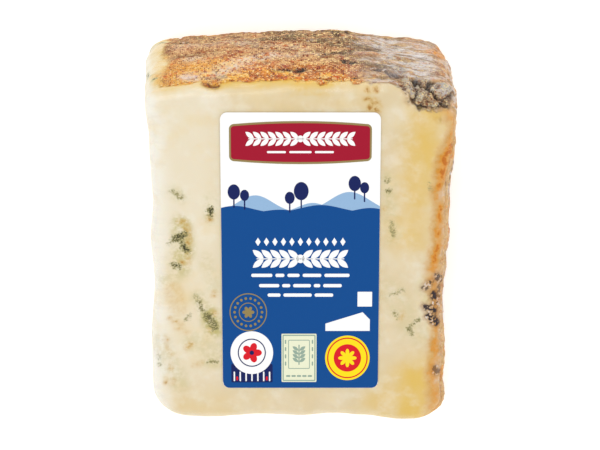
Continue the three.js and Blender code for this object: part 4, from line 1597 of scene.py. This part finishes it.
class FilmPiece(bpy.types.Operator):
    """Build the clear film that is shrunk on the cheese"""

    bl_idname = "cheese.film"
    bl_label = "Film"

    def execute(self, context):
        settings = context.scene.film_settings
        height = film_height(settings.clearance / MM, settings.tension_rounds)
        gap = height - cheese_height()
        fields = cheese_fields()
        p = smooth_wedge()[0]
        degrees = np.degrees(drum_angle(p))
        # Painted highlights of the film in milk-white: glare patches, a pale sheen over the grey rind and a
        # pale reflection along the plain cut; only the part set by the gap is milkiness where the film
        # stands off.
        glare = patches(p[:, 0], wall_place(p), on_wall(GLARE), 1.2) * (1 - smoothstep(fields["crag"], 0, 1))
        bloom = 0.2 * fields["grey"] * smoothstep(degrees, 12, 16) * smoothstep(degrees, 27, 24)
        haze = 0.02 * smoothstep(gap, 0.35, 1.2) * (fields["rind_gap"] < 0)
        haze = np.clip(haze + np.maximum(glare, bloom) + 0.12 * fields["pale"], 0, HAZE_AND_GLARE_MOST)
        make_skin("film", height, UNDERSIDE_HOLLOW, film_material(settings), {"haze": haze})
        return {"FINISHED"}


class LabelPieces(bpy.types.Operator):
    """Build the label: its sheet and one piece for each printed colour"""

    bl_idname = "cheese.label"
    bl_label = "Label"

    def execute(self, context):
        colours = context.scene.label_colours
        for name, ink, parts in PRINT:
            known = bpy.data.materials.get("ink_" + ink)
            material = known or ink_material("ink_" + ink, getattr(colours, ink))
            points, faces = join(parts())
            make_piece(name, on_label(points), faces, material, "label", smooth=False)
        return {"FINISHED"}


class StagePieces(bpy.types.Operator):
    """Set up the floor, the lights and the camera"""

    bl_idname = "cheese.stage"
    bl_label = "Stage"

    def execute(self, context):
        settings = context.scene.stage_settings
        self.lay_floor(context, settings)
        self.light_the_stage(context, settings)
        self.place_camera(context, settings)
        return {"FINISHED"}

    def lay_floor(self, context, settings):
        """A square floor that belongs to the stage and not to the model"""
        half = settings.floor_size / 2
        corners = [(-half, -half, 0), (half, -half, 0), (half, half, 0), (-half, half, 0)]
        mesh = bpy.data.meshes.new("floor")
        mesh.from_pydata(corners, [], [(0, 1, 2, 3)])
        mesh.materials.append(floor_material(settings.floor_colour))
        floor = bpy.data.objects.new("floor", mesh)
        context.collection.objects.link(floor)

    def light_the_stage(self, context, settings):
        """Even light from all round, and the round lamps, each turned to LAMP_AIM"""
        world = bpy.data.worlds.new("soft_sky")
        world.use_nodes = True
        background = world.node_tree.nodes["Background"]
        background.inputs["Color"].default_value = (1, 1, 1, 1)
        background.inputs["Strength"].default_value = settings.sky_strength
        context.scene.world = world
        context.scene.view_settings.view_transform = "Standard"
        for name, place, size, share in LAMPS:
            lamp = bpy.data.lights.new(name, "AREA")
            lamp.shape = "DISK"
            lamp.size = size
            lamp.energy = settings.key_power * share
            holder = bpy.data.objects.new(name, lamp)
            context.collection.objects.link(holder)
            holder.location = place
            across, away, down = np.array(LAMP_AIM) - np.array(place)
            tilt = math.atan2(math.hypot(across, away), -down)
            holder.rotation_euler = (tilt, 0, math.atan2(-across, away))

    def place_camera(self, context, settings):
        """A camera nearly overhead, leaning back by the tilt"""
        back = np.array((0, math.sin(settings.tilt), math.cos(settings.tilt)))
        camera = bpy.data.cameras.new("camera")
        camera.lens = settings.lens
        camera.sensor_width = SENSOR_WIDTH
        camera.clip_start, camera.clip_end = CAMERA_REACH
        holder = bpy.data.objects.new("camera", camera)
        holder.location = np.array(CAMERA_AIM) * MM + back * settings.distance
        holder.rotation_euler = (-settings.tilt, 0, 0)
        context.collection.objects.link(holder)
        context.scene.camera = holder


class CheesePanel(bpy.types.Panel):
    """Lists the pieces and their settings in the sidebar"""

    bl_idname = "VIEW3D_PT_cheese_wedge"
    bl_label = "Wrapped Cheese Wedge"
    bl_space_type = "VIEW_3D"
    bl_region_type = "UI"
    bl_category = "Cheese"

    def draw(self, context):
        for operator in OPERATORS:
            self.layout.operator(operator.bl_idname)
        for name, _ in SETTINGS:
            group = getattr(context.scene, name)
            box = self.layout.box()
            for key in group.__annotations__:
                box.prop(group, key)


OPERATORS = (CheesePiece, FilmPiece, LabelPieces, StagePieces)
SETTINGS = (
    ("cheese_colours", CheeseColours),
    ("film_settings", FilmSettings),
    ("label_colours", LabelColours),
    ("stage_settings", StageSettings),
)


def register():
    """Adds the settings, operators and panel to Blender."""
    for _, group in SETTINGS:
        bpy.utils.register_class(group)
    for kind in (*OPERATORS, CheesePanel):
        bpy.utils.register_class(kind)
    for name, group in SETTINGS:
        setattr(bpy.types.Scene, name, bpy.props.PointerProperty(type=group))


def unregister():
    """Takes them out again."""
    for name, _ in SETTINGS:
        delattr(bpy.types.Scene, name)
    for kind in (CheesePanel, *OPERATORS):
        bpy.utils.unregister_class(kind)
    for _, group in SETTINGS:
        bpy.utils.unregister_class(group)


def main():
    """Registers the add-on and builds every piece in order."""
    register()
    for operator in OPERATORS:
        group, action = operator.bl_idname.split(".")
        getattr(getattr(bpy.ops, group), action)()


if __name__ == "__main__":
    main()
